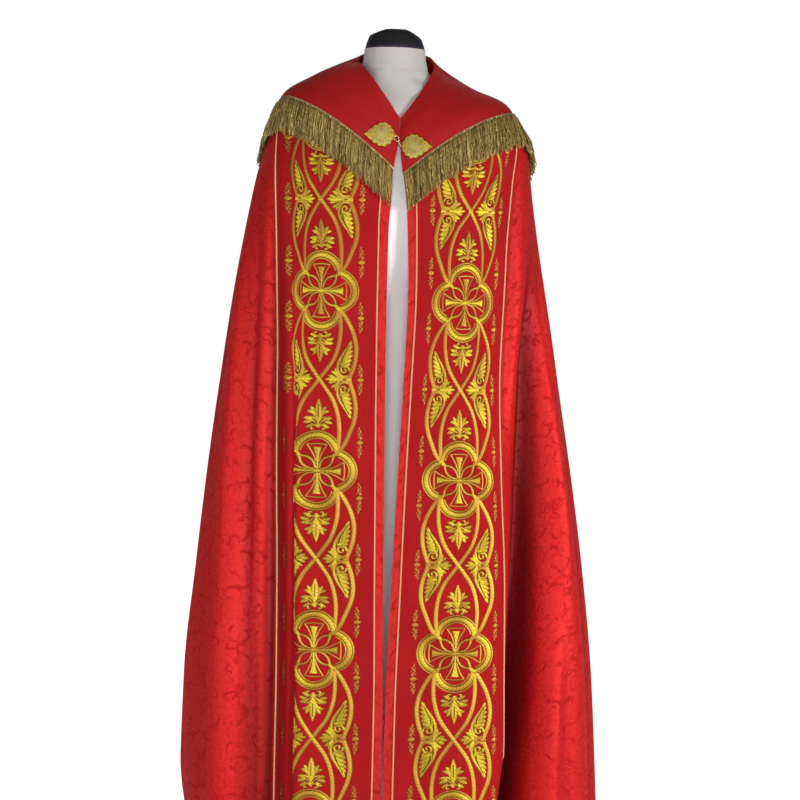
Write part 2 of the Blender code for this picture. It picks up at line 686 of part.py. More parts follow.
def build_form(jersey, black, metal):
    top = FORM_RINGS[0]
    bottom = FORM_RINGS[-1]
    loft("form_body", [form_outline(row) for row in FORM_RINGS], jersey)
    cap_low = top.z + GAP
    cap_profile = [(0.0600, 0.0), (0.0585, 0.45), (0.0555, 0.80), (0.0500, 0.95), (0.0400, 1.0)]
    outlines = []
    for radius, rise in reversed(cap_profile):
        outline = []
        for x, y, _ in circle(radius, 0.0):
            # The padded top is lower on the right.
            height = CAP_HEIGHT * (1 - 0.40 * smoothstep((x - 0.008) / 0.050))
            outline.append((x, y, cap_low + height * rise))
        outlines.append(outline)
    loft("neck_cap", outlines, black)
    loft("form_pole", [circle(POLE_RADIUS, bottom.z - GAP), circle(POLE_RADIUS, BASE_HEIGHT + GAP)], metal)
    base_profile = [(BASE_RADIUS - 0.012, BASE_HEIGHT), (BASE_RADIUS, 0.010), (BASE_RADIUS, 0.0)]
    loft("form_base", [circle(r, z) for r, z in base_profile], metal)


# ---------------------------------------------------------------- build

for old in list(bpy.data.objects):
    bpy.data.objects.remove(old)

FORM_MATERIALS = ("form_jersey", "form_black", "form_metal")
garment = bpy.data.objects.new("garment", None)
form = bpy.data.objects.new("form", None)
for empty in (garment, form):
    bpy.context.scene.collection.objects.link(empty)

red_damask = material("red_damask", (0.62, 0.015, 0.012), 0.45)
red_velvet = material("red_velvet", (0.42, 0.006, 0.018), 0.75)
gold_thread = material("gold_thread", (0.55, 0.42, 0.12), 0.40, 0.6)
gold_lace = material("gold_lace", (0.66, 0.55, 0.20), 0.35, 0.7)
clasp_metal = material("clasp_metal", (0.70, 0.60, 0.36), 0.25, 1.0)
form_jersey = material("form_jersey", (0.62, 0.60, 0.58), 0.90)
form_black = material("form_black", (0.012, 0.012, 0.014), 0.80)
form_metal = material("form_metal", (0.62, 0.62, 0.62), 0.40, 0.9)

build_form(form_jersey, form_black, form_metal)
build_body(red_damask)
build_orphreys(red_velvet)
build_piping(gold_thread)
build_fringe(build_collar(red_damask), gold_thread)
build_clasp(gold_lace, clasp_metal)
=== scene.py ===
import math

import bmesh
import bpy
import numpy as np
from mathutils import Matrix, Vector


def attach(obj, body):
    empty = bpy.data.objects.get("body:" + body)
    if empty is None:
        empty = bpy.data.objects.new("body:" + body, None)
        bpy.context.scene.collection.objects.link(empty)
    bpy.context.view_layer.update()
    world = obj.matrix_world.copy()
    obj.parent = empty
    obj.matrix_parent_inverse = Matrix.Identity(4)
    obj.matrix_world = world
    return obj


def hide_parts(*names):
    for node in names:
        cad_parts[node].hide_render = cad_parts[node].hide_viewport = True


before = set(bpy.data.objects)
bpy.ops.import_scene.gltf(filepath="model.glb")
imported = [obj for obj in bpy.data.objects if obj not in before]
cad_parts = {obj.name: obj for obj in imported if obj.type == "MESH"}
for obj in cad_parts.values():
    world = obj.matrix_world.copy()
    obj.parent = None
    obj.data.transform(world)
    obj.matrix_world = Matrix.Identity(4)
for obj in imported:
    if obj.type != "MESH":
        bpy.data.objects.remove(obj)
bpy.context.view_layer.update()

# A red damask cope with gold orphreys on a limbless dress form.
# Metres, +Z up, the front looks towards -Y. The cloth is read from level rings, the same ones
# that the solids follow; what is sewn on is made flat and then laid on the cloth.

print("frame loaded")


# Camera and light.

studio = {
    "cameraPlace": (0.0299, -3.8, 1.2338),
    "pitch": 5.0,  # degrees down
    "roll": 1.6,
    "lens": 83.4,
    "ambient": 0.22,  # the backdrop's light on the cloth
    "backdrop": 1.0,  # and as the camera sees it
    # place, aims at, power, size
    "lights": {
        "keyLight": ((3.15, -3.15, 1.35), (0, 0, 0.80), 132.0, 1.1),
        "fillLight": ((-0.1, -4.5, 1.25), (0, 0, 0.90), 76.0, 1.8),
        "sideLight": ((-2.8, -2.6, 1.30), (0, 0, 0.85), 32.0, 1.2),
        "topLight": ((0.2, 1.8, 3.40), (0, 0, 1.20), 6.0, 1.6),
    },
}


def makeCamera():
    pitch, roll = math.radians(studio["pitch"]), math.radians(studio["roll"])
    forward = Vector((0, math.cos(pitch), -math.sin(pitch)))
    up = Vector((0, math.sin(pitch), math.cos(pitch)))
    right = Vector((1, 0, 0))
    camX = right * math.cos(roll) + up * math.sin(roll)
    camY = up * math.cos(roll) - right * math.sin(roll)
    data = bpy.data.cameras.new("camera")
    data.lens = studio["lens"]
    data.sensor_width = 36
    data.clip_end = 100
    made = linked("camera", data)
    turn = Matrix((camX, camY, -forward)).transposed()
    made.matrix_world = Matrix.Translation(studio["cameraPlace"]) @ turn.to_4x4()
    bpy.context.scene.camera = made


def makeLight(name, place, target, power, size):
    data = bpy.data.lights.new(name, "AREA")
    data.energy = power
    data.size = size
    made = linked(name, data)
    made.location = place
    made.rotation_euler = (Vector(target) - Vector(place)).to_track_quat("-Z", "Y").to_euler()


def makeStudio():
    makeCamera()
    for name, light in studio["lights"].items():
        makeLight(name, *light)
    world = bpy.data.worlds.new("studio")
    world.use_nodes = True
    tree = world.node_tree
    # The backdrop reads white and lights the cloth only a little.
    seen = addNode(tree, "ShaderNodeLightPath").outputs["Is Camera Ray"]
    strength = ramped(seen, 0.0, 1.0, studio["ambient"], studio["backdrop"])
    feed((1, 1, 1, 1), tree.nodes["Background"].inputs["Color"])
    feed(strength, tree.nodes["Background"].inputs["Strength"])
    bpy.context.scene.world = world
    bpy.context.scene.view_settings.view_transform = "Standard"


# Node helpers, for materials and for the tree that lays flat work.

def feed(value, socket):
    if isinstance(value, bpy.types.NodeSocket):
        socket.id_data.links.new(value, socket)
    else:
        socket.default_value = value


def addNode(tree, kind, inputs=None, **settings):
    node = tree.nodes.new(kind)
    for key, value in settings.items():
        setattr(node, key, value)
    for key, value in (inputs or {}).items():
        feed(value, node.inputs[key])
    return node


def treeOf(*values):
    # The node tree of the first socket among some values.
    return next(value.id_data for value in values if isinstance(value, bpy.types.NodeSocket))


def calc(operation, *values):
    inputs = dict(enumerate(values))
    return addNode(treeOf(*values), "ShaderNodeMath", inputs, operation=operation).outputs[0]


def plus(first, second):
    return calc("ADD", first, second)


def minus(first, second):
    return calc("SUBTRACT", first, second)


def times(first, second):
    return calc("MULTIPLY", first, second)


def timesPlus(value, size, shift):
    return calc("MULTIPLY_ADD", value, size, shift)


def vectorCalc(operation, first, second=None):
    inputs = {0: first}
    if second is not None:
        inputs["Scale" if operation == "SCALE" else 1] = second
    return addNode(treeOf(first), "ShaderNodeVectorMath", inputs, operation=operation).outputs[0]


def numbersOf(vector):
    return addNode(treeOf(vector), "ShaderNodeSeparateXYZ", {0: vector}).outputs


def ramped(value, low, high, first=0.0, last=1.0):
    inputs = {0: value, 1: low, 2: high, 3: first, 4: last}
    return addNode(treeOf(value), "ShaderNodeMapRange", inputs, interpolation_type="SMOOTHSTEP").outputs[0]


def mixed(factor, first, second):
    node = addNode(treeOf(factor, first, second), "ShaderNodeMix", data_type="RGBA")
    feed(factor, node.inputs[0])
    for value, socket in ((first, node.inputs[6]), (second, node.inputs[7])):
        feed(value if isinstance(value, bpy.types.NodeSocket) else (*value, 1), socket)
    return node.outputs[2]


def clothPlace(tree):
    return addNode(tree, "ShaderNodeUVMap", uv_map="cloth").outputs[0]


def objectPlace(tree):
    return addNode(tree, "ShaderNodeTexCoord").outputs["Object"]


def pointNumber(tree, name, output="Fac"):
    return addNode(tree, "ShaderNodeAttribute", attribute_name=name).outputs[output]


def noise(vector, scale, detail=2.0, output=0):
    inputs = {"Vector": vector, "Scale": scale, "Detail": detail}
    return addNode(treeOf(vector), "ShaderNodeTexNoise", inputs).outputs[output]


def stretched(vector, scale):
    return addNode(treeOf(vector), "ShaderNodeMapping", {"Vector": vector, "Scale": scale}).outputs[0]


def woven(place, pitch):
    # Threads as stretched noise, with its cells to a metre along each axis.
    return noise(stretched(place, pitch), 1.0)


def cells(place, pitch):
    # The distance to the middle of the nearest of many scattered cells.
    inputs = {"Vector": stretched(place, pitch), "Scale": 1.0}
    return addNode(treeOf(place), "ShaderNodeTexVoronoi", inputs).outputs[0]


def startMaterial(name, roughness=0.5, metallic=0.0, sheen=0.0, sheenTint=(1, 1, 1), specular=0.5):
    made = bpy.data.materials.new(name)
    made.use_nodes = True
    inputs = made.node_tree.nodes["Principled BSDF"].inputs
    for label, value in (
        ("Roughness", roughness),
        ("Metallic", metallic),
        ("Specular IOR Level", specular),
        ("Sheen Weight", sheen),
        ("Sheen Roughness", 0.4),
        ("Sheen Tint", (*sheenTint, 1)),
    ):
        feed(value, inputs[label])
    return made, made.node_tree


def endMaterial(made, colour, height, relief, rough=None):
    # Relief is how deep the height's bump is, in metres, and how strongly it shows.
    tree = made.node_tree
    inputs = tree.nodes["Principled BSDF"].inputs
    distance, strength = relief
    bump = addNode(tree, "ShaderNodeBump", {"Height": height, "Strength": strength, "Distance": distance})
    feed(colour, inputs["Base Color"])
    feed(bump.outputs[0], inputs["Normal"])
    if rough is not None:
        feed(rough, inputs["Roughness"])
    return made


# Mesh helpers.

def linked(name, data):
    made = bpy.data.objects.new(name, data)
    bpy.context.scene.collection.objects.link(made)
    return made


def meshObject(name, points, faces, materials, uv=None, slots=None, numbers=None, smooth=True, sharp=50):
    mesh = bpy.data.meshes.new(name)
    mesh.from_pydata(np.asarray(points, dtype=float).tolist(), [], [list(map(int, face)) for face in faces])
    if uv is not None:
        corners = np.empty(len(mesh.loops), dtype=np.int32)
        mesh.loops.foreach_get("vertex_index", corners)
        layer = mesh.uv_layers.new(name="cloth")
        layer.uv.foreach_set("vector", np.asarray(uv, dtype=np.float32)[corners].ravel())
    for label, values in (numbers or {}).items():
        values = np.asarray(values, dtype=np.float32)
        kind = "FLOAT_VECTOR" if values.ndim == 2 else "FLOAT"
        attribute = mesh.attributes.new(label, kind, "POINT")
        attribute.data.foreach_set("vector" if values.ndim == 2 else "value", values.ravel())
    for surface in materials:
        mesh.materials.append(surface)
    if slots is not None:
        mesh.polygons.foreach_set("material_index", np.asarray(slots, dtype=np.int32))
    if smooth:
        mesh.shade_smooth()
        mesh.set_sharp_from_angle(angle=math.radians(sharp))
    mesh.update()
    return linked(name, mesh)


def turnedOut(made):
    # Every face of a closed piece is made to look outwards.
    work = bmesh.new()
    work.from_mesh(made.data)
    bmesh.ops.recalc_face_normals(work, faces=work.faces)
    work.to_mesh(made.data)
    work.free()
    return made


def gridFaces(rows, columns, closed=False):
    # Rows run down and columns run left as seen from outside, so these face outwards.
    across = columns if closed else columns - 1
    i, j = np.meshgrid(np.arange(rows - 1), np.arange(across), indexing="ij")
    k = (j + 1) % columns
    corners = (i * columns + j, i * columns + k, (i + 1) * columns + k, (i + 1) * columns + j)
    return np.stack(corners, axis=-1).reshape(-1, 4)


def tubeObject(name, points, sides, surface, uv):
    # A closed tube through rings of some points each.
    last = len(points) - sides
    faces = gridFaces(len(points) // sides, sides, closed=True).tolist()
    faces += [list(range(sides)), [last + k for k in range(sides)][::-1]]
    return turnedOut(meshObject(name, points, faces, (surface,), uv=uv, sharp=180))


def shellObject(name, outer, inner, uv, face, lining, hollows=None):
    # A closed wall: the outer grid, the inner grid and the rim between them.
    rows, columns = outer.shape[:2]
    count = rows * columns
    front = gridFaces(rows, columns)
    rear = front[:, ::-1] + count
    at = np.arange(count).reshape(rows, columns)
    rims = []
    for first, second in (
        (at[0, 1:], at[0, :-1]),
        (at[-1, :-1], at[-1, 1:]),
        (at[:-1, 0], at[1:, 0]),
        (at[1:, -1], at[:-1, -1]),
    ):
        rims.append(np.stack([first, second, second + count, first + count], axis=-1))
    faces = np.concatenate([front, rear] + rims)
    slots = np.zeros(len(faces), dtype=int)
    slots[len(front) : len(front) + len(rear)] = 1
    points = np.concatenate([outer.reshape(-1, 3), inner.reshape(-1, 3)])
    twice = np.concatenate([uv.reshape(-1, 2), uv.reshape(-1, 2)])
    deep = np.zeros((rows, columns)) if hollows is None else hollows
    numbers = {"hollow": np.concatenate([deep.ravel(), -deep.ravel()])}
    return meshObject(name, points, faces, (face, lining), uv=twice, slots=slots, numbers=numbers, sharp=60)


def pathLengths(points):
    # How far along a path each of its points lies.
    return np.concatenate([[0], np.cumsum(np.linalg.norm(np.diff(points, axis=0), axis=1))])


def smoothstep(t):
    t = np.clip(t, 0.0, 1.0)
    return t * t * (3 - 2 * t)


makeStudio()
print("studio ready")


# The damask.

damask = {
    "finish": {"roughness": 0.46, "metallic": 0.32, "sheen": 0.05, "sheenTint": (1.0, 0.20, 0.15),
               "specular": 0.24},
    "satin": (0.590, 0.0112, 0.0080),  # the bright ground
    "satinShade": (0.460, 0.0070, 0.0066),
    "figure": (0.360, 0.0048, 0.0060),  # matt strokes of the figure
    # the deep colour is painted shade at the bottoms of the folds, and foldShadeShown is how much of it is
    # shown
    "deep": (0.115, 0.0010, 0.0022),  # at the bottom of the folds
    "figureShown": 0.62,
    "foldShadeShown": 0.86,
    "cellWide": 0.118,  # one cell of the figure
    "cellHigh": 0.204,
    "wander": 0.020,  # how far the woven drawing strays
    "soft": 0.0030,  # how softly a stroke's edge ends
    "taper": 0.0018,  # how much finer a stroke's ends are
    # The curling strokes in half a cell, the other half mirrored. across, along, radius, turned, thick
    "strokes": (
        (0.0170, 0.0700, 0.0100, 3.4, 0.0021),
        (0.0410, 0.0470, 0.0085, 0.5, 0.0018),
        (0.0150, 0.0210, 0.0115, 2.4, 0.0024),
        (0.0400, -.0060, 0.0095, -.7, 0.0020),
        (0.0180, -.0330, 0.0085, 4.4, 0.0017),
        (0.0420, -.0560, 0.0110, 1.3, 0.0022),
        (0.0160, -.0820, 0.0090, 2.9, 0.0018),
    ),
    "leafLobes": 5,  # of the spray where four cells meet
    "leafRadius": 0.0150,
    "leafSwing": 0.0060,
    "leafThick": 0.0012,
    "markCells": (95.0, 70.0, 1.0),  # short marks to a metre across and along
    "scaleCells": (38.0, 31.0, 1.0),  # small scales to a metre
    "scaleRadius": 0.37,
    "warp": (260.0, 2600.0, 1.0),
    "weft": (2200.0, 180.0, 1.0),
    "slubs": (120.0, 190.0, 1.0),
    "relief": (0.00030, 0.9),
}


def damaskFigure(u, v):
    # Curling strokes mirrored about each cell's middle, half-dropped from column to column.
    column = calc("DIVIDE", u, damask["cellWide"])
    drop = times(calc("PINGPONG", calc("FLOOR", column), 1.0), 0.5)
    row = plus(calc("DIVIDE", v, damask["cellHigh"]), drop)

    def centred(value, size):
        return times(minus(calc("FRACT", value), 0.5), size)

    def polar(x, y):
        squares = plus(times(x, x), times(y, y))
        return calc("SQRT", squares), calc("ARCTAN2", y, x)

    def lineAt(distance, thick):
        # 1 within thick of a line, fading to 0 beyond it.
        off = minus(calc("ABSOLUTE", distance), thick)
        return ramped(off, 0.0, damask["soft"], 1.0, 0.0)

    def waved(angle, count, phase, size, middle):
        inside = timesPlus(angle, float(count), phase)
        return timesPlus(calc("COSINE", inside), size, middle)

    def curled(x, y, radius, turned, thick):
        # A spiral stroke, thickest in its middle and fine at both ends.
        cosine, sine = math.cos(turned), math.sin(turned)
        along = timesPlus(x, cosine, times(y, sine))
        beside = timesPlus(x, -sine, times(y, cosine))
        away, angle = polar(along, times(beside, 0.70))
        path = timesPlus(angle, 0.15 * radius, radius)
        width = waved(angle, 0.66, 0.0, 0.6 * thick + damask["taper"], -damask["taper"])
        return lineAt(minus(away, path), width)

    middle, y = centred(column, damask["cellWide"]), centred(row, damask["cellHigh"])
    x = calc("ABSOLUTE", middle)
    figure = 0.0
    for placeX, placeY, radius, turned, thick in damask["strokes"]:
        stroke = curled(minus(x, placeX), minus(y, placeY), radius, turned, thick)
        figure = calc("MAXIMUM", figure, stroke)

    # A leaf spray where four cells meet.
    away, way = polar(middle, centred(plus(row, 0.5), damask["cellHigh"]))
    edge = waved(way, damask["leafLobes"], 0.5, damask["leafSwing"], damask["leafRadius"])
    leaf = lineAt(minus(away, edge), damask["leafThick"])
    return calc("MAXIMUM", figure, times(leaf, 0.8))


# Painted shade in the folds, from the hollow attribute: the depths over which it is painted.
foldShade = {"from": -0.014, "to": 0.034}   # metres below the cloth around, from no shade to the most


def paintedFoldShade(colour, most, deep):
    # Painted shade: the colour is painted nearly as dark as deep at the bottoms of the folds, and left as
    # it was on their crests.
    hollow = pointNumber(colour.id_data, "hollow")
    return mixed(ramped(hollow, foldShade["from"], foldShade["to"], 0.0, most), colour, deep)


def wovenFigure(uv):
    # The whole drawing, from 0 on the ground to 1 in a stroke.
    bend = vectorCalc("SUBTRACT", noise(uv, 30.0, 2.5, 1), (0.5, 0.5, 0.5))
    bent = vectorCalc("ADD", uv, vectorCalc("SCALE", bend, damask["wander"]))
    place = numbersOf(bent)
    figure = damaskFigure(place[0], place[1])
    # Short marks stand here and there between the strokes.
    marks = ramped(cells(bent, damask["markCells"]), 0.10, 0.30, 0.85, 0.0)
    marks = times(marks, ramped(noise(uv, 21.0, 1.0), 0.50, 0.60))
    figure = calc("MAXIMUM", figure, marks)
    # Small arcs fill the rest of the ground, like scales that have lost a part of their rims.
    off = minus(cells(bent, damask["scaleCells"]), damask["scaleRadius"])
    arcs = ramped(calc("ABSOLUTE", off), 0.025, 0.115, 0.9, 0.0)
    arcs = times(arcs, ramped(noise(bent, 52.0, 1.0), 0.46, 0.56))
    figure = calc("MAXIMUM", figure, arcs)
    # Parts of it all are woven fainter than others.
    return times(figure, ramped(noise(uv, 34.0), 0.34, 0.60, 0.20, 1.0))


def damaskMaterial(name, deeper=0.0, showFigure=1.0):
    made, tree = startMaterial(name, **damask["finish"])
    uv = clothPlace(tree)
    figure = times(wovenFigure(uv), showFigure)
    slubs, cloud = woven(uv, damask["slubs"]), noise(uv, 130.0, 3.0)
    patchy = timesPlus(slubs, 0.4, times(cloud, 0.6))
    ground = mixed(ramped(patchy, 0.36, 0.62), damask["satinShade"], damask["satin"])
    ground = mixed(deeper, ground, damask["figure"])
    colour = mixed(times(figure, damask["figureShown"]), ground, damask["figure"])
    # Painted shade at the bottoms of the folds.
    colour = paintedFoldShade(colour, damask["foldShadeShown"], damask["deep"])
    rough = timesPlus(figure, 0.30, 0.44 + 0.12 * deeper)
    rough = timesPlus(patchy, 0.20, rough)
    warp, weft = woven(uv, damask["warp"]), woven(uv, damask["weft"])
    weave = plus(times(warp, 0.5), times(weft, 0.35))
    height = plus(times(figure, -1.7), weave)
    height = timesPlus(patchy, 2.4 - 1.8 * deeper, height)
    return endMaterial(made, colour, height, damask["relief"], rough)


# The lining and the orphreys' ground.

lining = {
    "finish": {"roughness": 0.40, "sheen": 0.15, "sheenTint": (1, 0.3, 0.25), "specular": 0.4},
    "shade": (0.30, 0.004, 0.006),
    "red": (0.38, 0.006, 0.008),
    "threadRed": (0.44, 0.008, 0.010),
    "threads": (1800.0, 140.0, 1.0),
    "relief": (0.0001, 0.6),
}


def liningMaterial():
    made, tree = startMaterial("lining", **lining["finish"])
    uv = clothPlace(tree)
    threads = woven(uv, lining["threads"])
    ground = mixed(ramped(noise(uv, 6.0), 0.3, 0.7), lining["shade"], lining["red"])
    return endMaterial(made, mixed(threads, ground, lining["threadRed"]), threads, lining["relief"])


velvet = {
    "finish": {"roughness": 0.80, "sheen": 0.06, "sheenTint": (1.0, 0.20, 0.18), "specular": 0.12},
    "shade": (0.275, 0.0038, 0.0050),
    "red": (0.345, 0.0050, 0.0062),
    "ribRed": (0.42, 0.0070, 0.0080),
    # the deep colour is painted shade at the bottoms of the folds
    "deep": (0.13, 0.0012, 0.0022),
    "ribs": (60.0, 1500.0, 1.0),
    "warp": (1900.0, 90.0, 1.0),
    "relief": (0.00025, 0.8),
}


def velvetMaterial():
    # The orphrey's matt ribbed ground.
    made, tree = startMaterial("orphreyGround", **velvet["finish"])
    uv = clothPlace(tree)
    ribs, warp = woven(uv, velvet["ribs"]), woven(uv, velvet["warp"])
    colour = mixed(ramped(noise(uv, 7.0), 0.3, 0.7), velvet["shade"], velvet["red"])
    colour = mixed(times(ribs, 0.45), colour, velvet["ribRed"])
    # Painted shade at the bottoms of the folds.
    colour = paintedFoldShade(colour, 0.80, velvet["deep"])
    return endMaterial(made, colour, plus(ribs, times(warp, 0.6)), velvet["relief"])


# Gold stitching.

stitch = {
    "finish": {"roughness": 0.40, "metallic": 0.42, "sheen": 0.04, "sheenTint": (1.0, 0.85, 0.4),
               "specular": 0.18},
    # between the threads, on them
    # dull and bright copies of each thread, for the painted sheen
    "ribbonDull": ((0.150, 0.050, 0.006), (0.500, 0.190, 0.024)),
    "ribbonBright": ((0.270, 0.120, 0.008), (0.760, 0.460, 0.055)),
    "leafDull": ((0.150, 0.085, 0.005), (0.480, 0.310, 0.024)),
    "leafBright": ((0.270, 0.175, 0.006), (0.780, 0.610, 0.034)),
    "faint": ((0.30, 0.065, 0.010), (0.52, 0.185, 0.036)),
    "vein": (0.13, 0.052, 0.005),
    "couched": (0.15, 0.050, 0.006),  # brown thread along a shape's edges
    # the outline is partly a couched line and partly painted shadow at the shape's edge
    "outline": (0.105, 0.012, 0.005),  # the dark line round a shape, on the ground
    # the deep colour is painted shade where the work lies in a fold
    "deep": (0.050, 0.020, 0.003),
    "threads": (1500.0, 1.5, 1.0),
    "bricks": 420.0,  # rows of slanting stitches, in radians to a metre
    "relief": (0.00030, 0.8),
}


def stitchMaterial():
    # Satin stitch: threads lie across each shape, and its edges are couched in brown. Tone goes from
    # veins (-1) to ribbons (0), leaves (1) and the faint work at the sides (2).
    made, tree = startMaterial("goldStitch", **stitch["finish"])
    uv = clothPlace(tree)
    along, across = numbersOf(uv)[:2]
    fromMiddle = calc("ABSOLUTE", across)
    tone = pointNumber(tree, "tone")
    threads = woven(uv, stitch["threads"])
    slant = timesPlus(along, stitch["bricks"], times(across, 1.3))
    bricks = ramped(calc("ABSOLUTE", calc("SINE", slant)), 0.0, 0.55)
    lit = timesPlus(bricks, 0.45, times(threads, 0.55))

    # Painted sheen: threads that lie level are painted bright high up, and those that lie upright are
    # painted bright low down.
    place = objectPlace(tree)
    lie = numbersOf(pointNumber(tree, "lie", "Vector"))
    drift = timesPlus(noise(place, 5.0, 1.0), 1.2, -0.6)
    swing = plus(ramped(numbersOf(place)[2], 0.45, 1.20, -0.9, 0.9), drift)
    paintedSheen = timesPlus(times(lie[0], swing), 0.42, 0.46)
    paintedSheen = timesPlus(lie[1], -0.34, paintedSheen)
    patchy = timesPlus(noise(place, 46.0), 0.5, -0.25)
    paintedSheen = ramped(plus(paintedSheen, patchy), 0.0, 1.0)

    def thread(name):
        return mixed(lit, *stitch[name])

    ribbon = mixed(paintedSheen, thread("ribbonDull"), thread("ribbonBright"))
    leaf = mixed(paintedSheen, thread("leafDull"), thread("leafBright"))
    colour = mixed(ramped(tone, 0.0, 1.0), ribbon, leaf)
    colour = mixed(ramped(tone, 1.0, 2.0), colour, thread("faint"))
    colour = mixed(ramped(tone, -1.0, 0.0, 1.0, 0.0), colour, stitch["vein"])
    colour = mixed(times(ramped(fromMiddle, 0.66, 1.0), 0.72), colour, stitch["couched"])
    colour = mixed(ramped(fromMiddle, 1.0, 1.25), colour, stitch["outline"])
    # Painted shade where the work lies in a fold.
    colour = paintedFoldShade(colour, 0.72, stitch["deep"])
    rough = timesPlus(threads, 0.16, 0.34)
    return endMaterial(made, colour, threads, stitch["relief"], rough)


# Twisted thread for the cords and the fringe: dark, light, plies to a metre, metallic.

cords = {
    "fringeThread": ((0.150, 0.082, 0.012), (0.60, 0.430, 0.115), 150.0, 0.25),
    "pipingThread": ((0.52, 0.24, 0.10), (0.80, 0.46, 0.22), 330.0, 0.10),
    "headerThread": ((0.30, 0.20, 0.05), (0.66, 0.52, 0.20), 420.0, 0.30),
}


def cordMaterial(name):
    # Slanting plies round a cord. UV is metres along and 0 to 1 round it.
    dark, light, plies, metallic = cords[name]
    made, tree = startMaterial(name, roughness=0.40, metallic=metallic, sheen=0.1,
                               sheenTint=(1, 0.9, 0.6), specular=0.5)
    along, around = numbersOf(clothPlace(tree))[:2]
    turned = times(timesPlus(along, plies, around), 6.2832)
    ply = calc("ABSOLUTE", calc("SINE", turned))
    patch = times(noise(objectPlace(tree), 210.0), 0.5)
    body = mixed(ramped(plus(pointNumber(tree, "shade"), patch), 0.1, 1.2), dark, light)
    # Painted shade in the grooves between the plies.
    between = tuple(value * 0.45 for value in dark)
    return endMaterial(made, mixed(ramped(ply, 0.0, 0.5), between, body), ply, (0.0004, 0.8))


# Metals and gilt thread: colour, roughness, metallic.

metals = {
    "laceGold": ((0.40, 0.345, 0.110), 0.46, 0.40),
    "laceThread": ((0.62, 0.560, 0.250), 0.40, 0.35),
    "claspMetal": ((0.72, 0.64, 0.45), 0.28, 1.0),
    "formMetal": ((0.64, 0.64, 0.64), 0.38, 0.8),
}


def metalMaterial(name):
    colour, roughness, metallic = metals[name]
    made, tree = startMaterial(name, roughness=roughness, metallic=metallic)
    place = objectPlace(tree)
    cloud, grain = noise(place, 60.0, 4.0), noise(place, 900.0)
    darker = tuple(value * 0.72 for value in colour)
    tone = mixed(ramped(cloud, 0.3, 0.7), darker, colour)
    rough = timesPlus(cloud, 0.2, roughness - 0.08)
    return endMaterial(made, tone, grain, (0.00008, 0.6), rough)


# The dress form's cover and its black cap.

jersey = {
    "finish": {"roughness": 0.85, "sheen": 0.2, "specular": 0.2},
    "shade": (0.84, 0.82, 0.81),
    "white": (0.90, 0.88, 0.87),
    "knitWhite": (0.92, 0.90, 0.89),
    "neck": (0.37, 0.35, 0.325),  # painted shade: the cover is painted greyer on the neck
    "neckFrom": (1.40, 1.52),
    "knit": (900.0, 900.0, 320.0),
    "relief": (0.0004, 0.6),
}


def jerseyMaterial():
    made, tree = startMaterial("jersey", **jersey["finish"])
    place = objectPlace(tree)
    knit = woven(place, jersey["knit"])
    cloud = ramped(noise(place, 5.0, 3.0), 0.3, 0.7)
    colour = mixed(cloud, jersey["shade"], jersey["white"])
    colour = mixed(times(knit, 0.35), colour, jersey["knitWhite"])
    # Painted shade: greyer above the shoulders.
    neck = ramped(numbersOf(place)[2], *jersey["neckFrom"], 0.0, 0.9)
    return endMaterial(made, mixed(neck, colour, jersey["neck"]), knit, jersey["relief"])


sateen = {
    "finish": {"roughness": 0.66, "sheen": 0.12, "sheenTint": (0.5, 0.45, 0.6), "specular": 0.2},
    "black": (0.0024, 0.0024, 0.0024),
    "worn": (0.0068, 0.0065, 0.0074),
    "hem": (0.030, 0.011, 0.036),
    "hemTo": (1.614, 1.619),  # heights over which the hem's colour ends
    "weave": (1200.0, 1200.0, 1200.0),
    "relief": (0.0003, 0.7),
}


def capMaterial():
    made, tree = startMaterial("blackSateen", **sateen["finish"])
    place = objectPlace(tree)
    colour = mixed(noise(place, 24.0, 3.0), sateen["black"], sateen["worn"])
    hem = ramped(numbersOf(place)[2], *sateen["hemTo"], 1.0, 0.0)
    colour = mixed(hem, colour, sateen["hem"])
    return endMaterial(made, colour, woven(place, sateen["weave"]), sateen["relief"])


bodyCloth = damaskMaterial("redDamask")
capeCloth = damaskMaterial("redDamaskCape", deeper=0.85, showFigure=0.5)
liningCloth = liningMaterial()
orphreyCloth = velvetMaterial()
goldStitch = stitchMaterial()
fringeThread, pipingThread, headerThread = (cordMaterial(name) for name in cords)
laceGold, laceThread, claspMetal, formMetal = (metalMaterial(name) for name in metals)
formJersey = jerseyMaterial()
formCap = capMaterial()
print("materials ready")


# The cloth: level rings, folds and creases.

cloth = {
    "wall": 0.002,
    "gap": 0.0003,
    "bandWall": 0.0015,
    "edgeStrip": 0.019,  # damask left bare between the front edge and the orphrey
    "bandWidth": 0.216,
    "pipingRadius": 0.0015,
    "neckLevel": 1.466,
    "hemLevel": 0.040,
    "bandTopLevel": 1.392,
    "leftSeam": 0.262,
    "rightSeam": 0.750,
    "rowStep": 0.008,
    "ringPoints": 1800,  # round a whole ring, drawn a little past its ends
    "clothPoints": 1500,  # on the part that the cloth takes up
    "ringOverlap": 0.5,  # radians
    "steepWall": 0.007,  # the least half width of a fold beside the right band
    "nearCloth": 0.045,  # how far round a hollow's depth is compared with the cloth beside it
    "farCloth": 0.110,
}
cloth["bandReach"] = cloth["edgeStrip"] + cloth["bandWidth"]
wallTop = cloth["wall"] / 2
bandBottom = wallTop + cloth["gap"]
bandTop = bandBottom + cloth["bandWall"]
pipingMiddle = wallTop + cloth["gap"] + cloth["pipingRadius"]

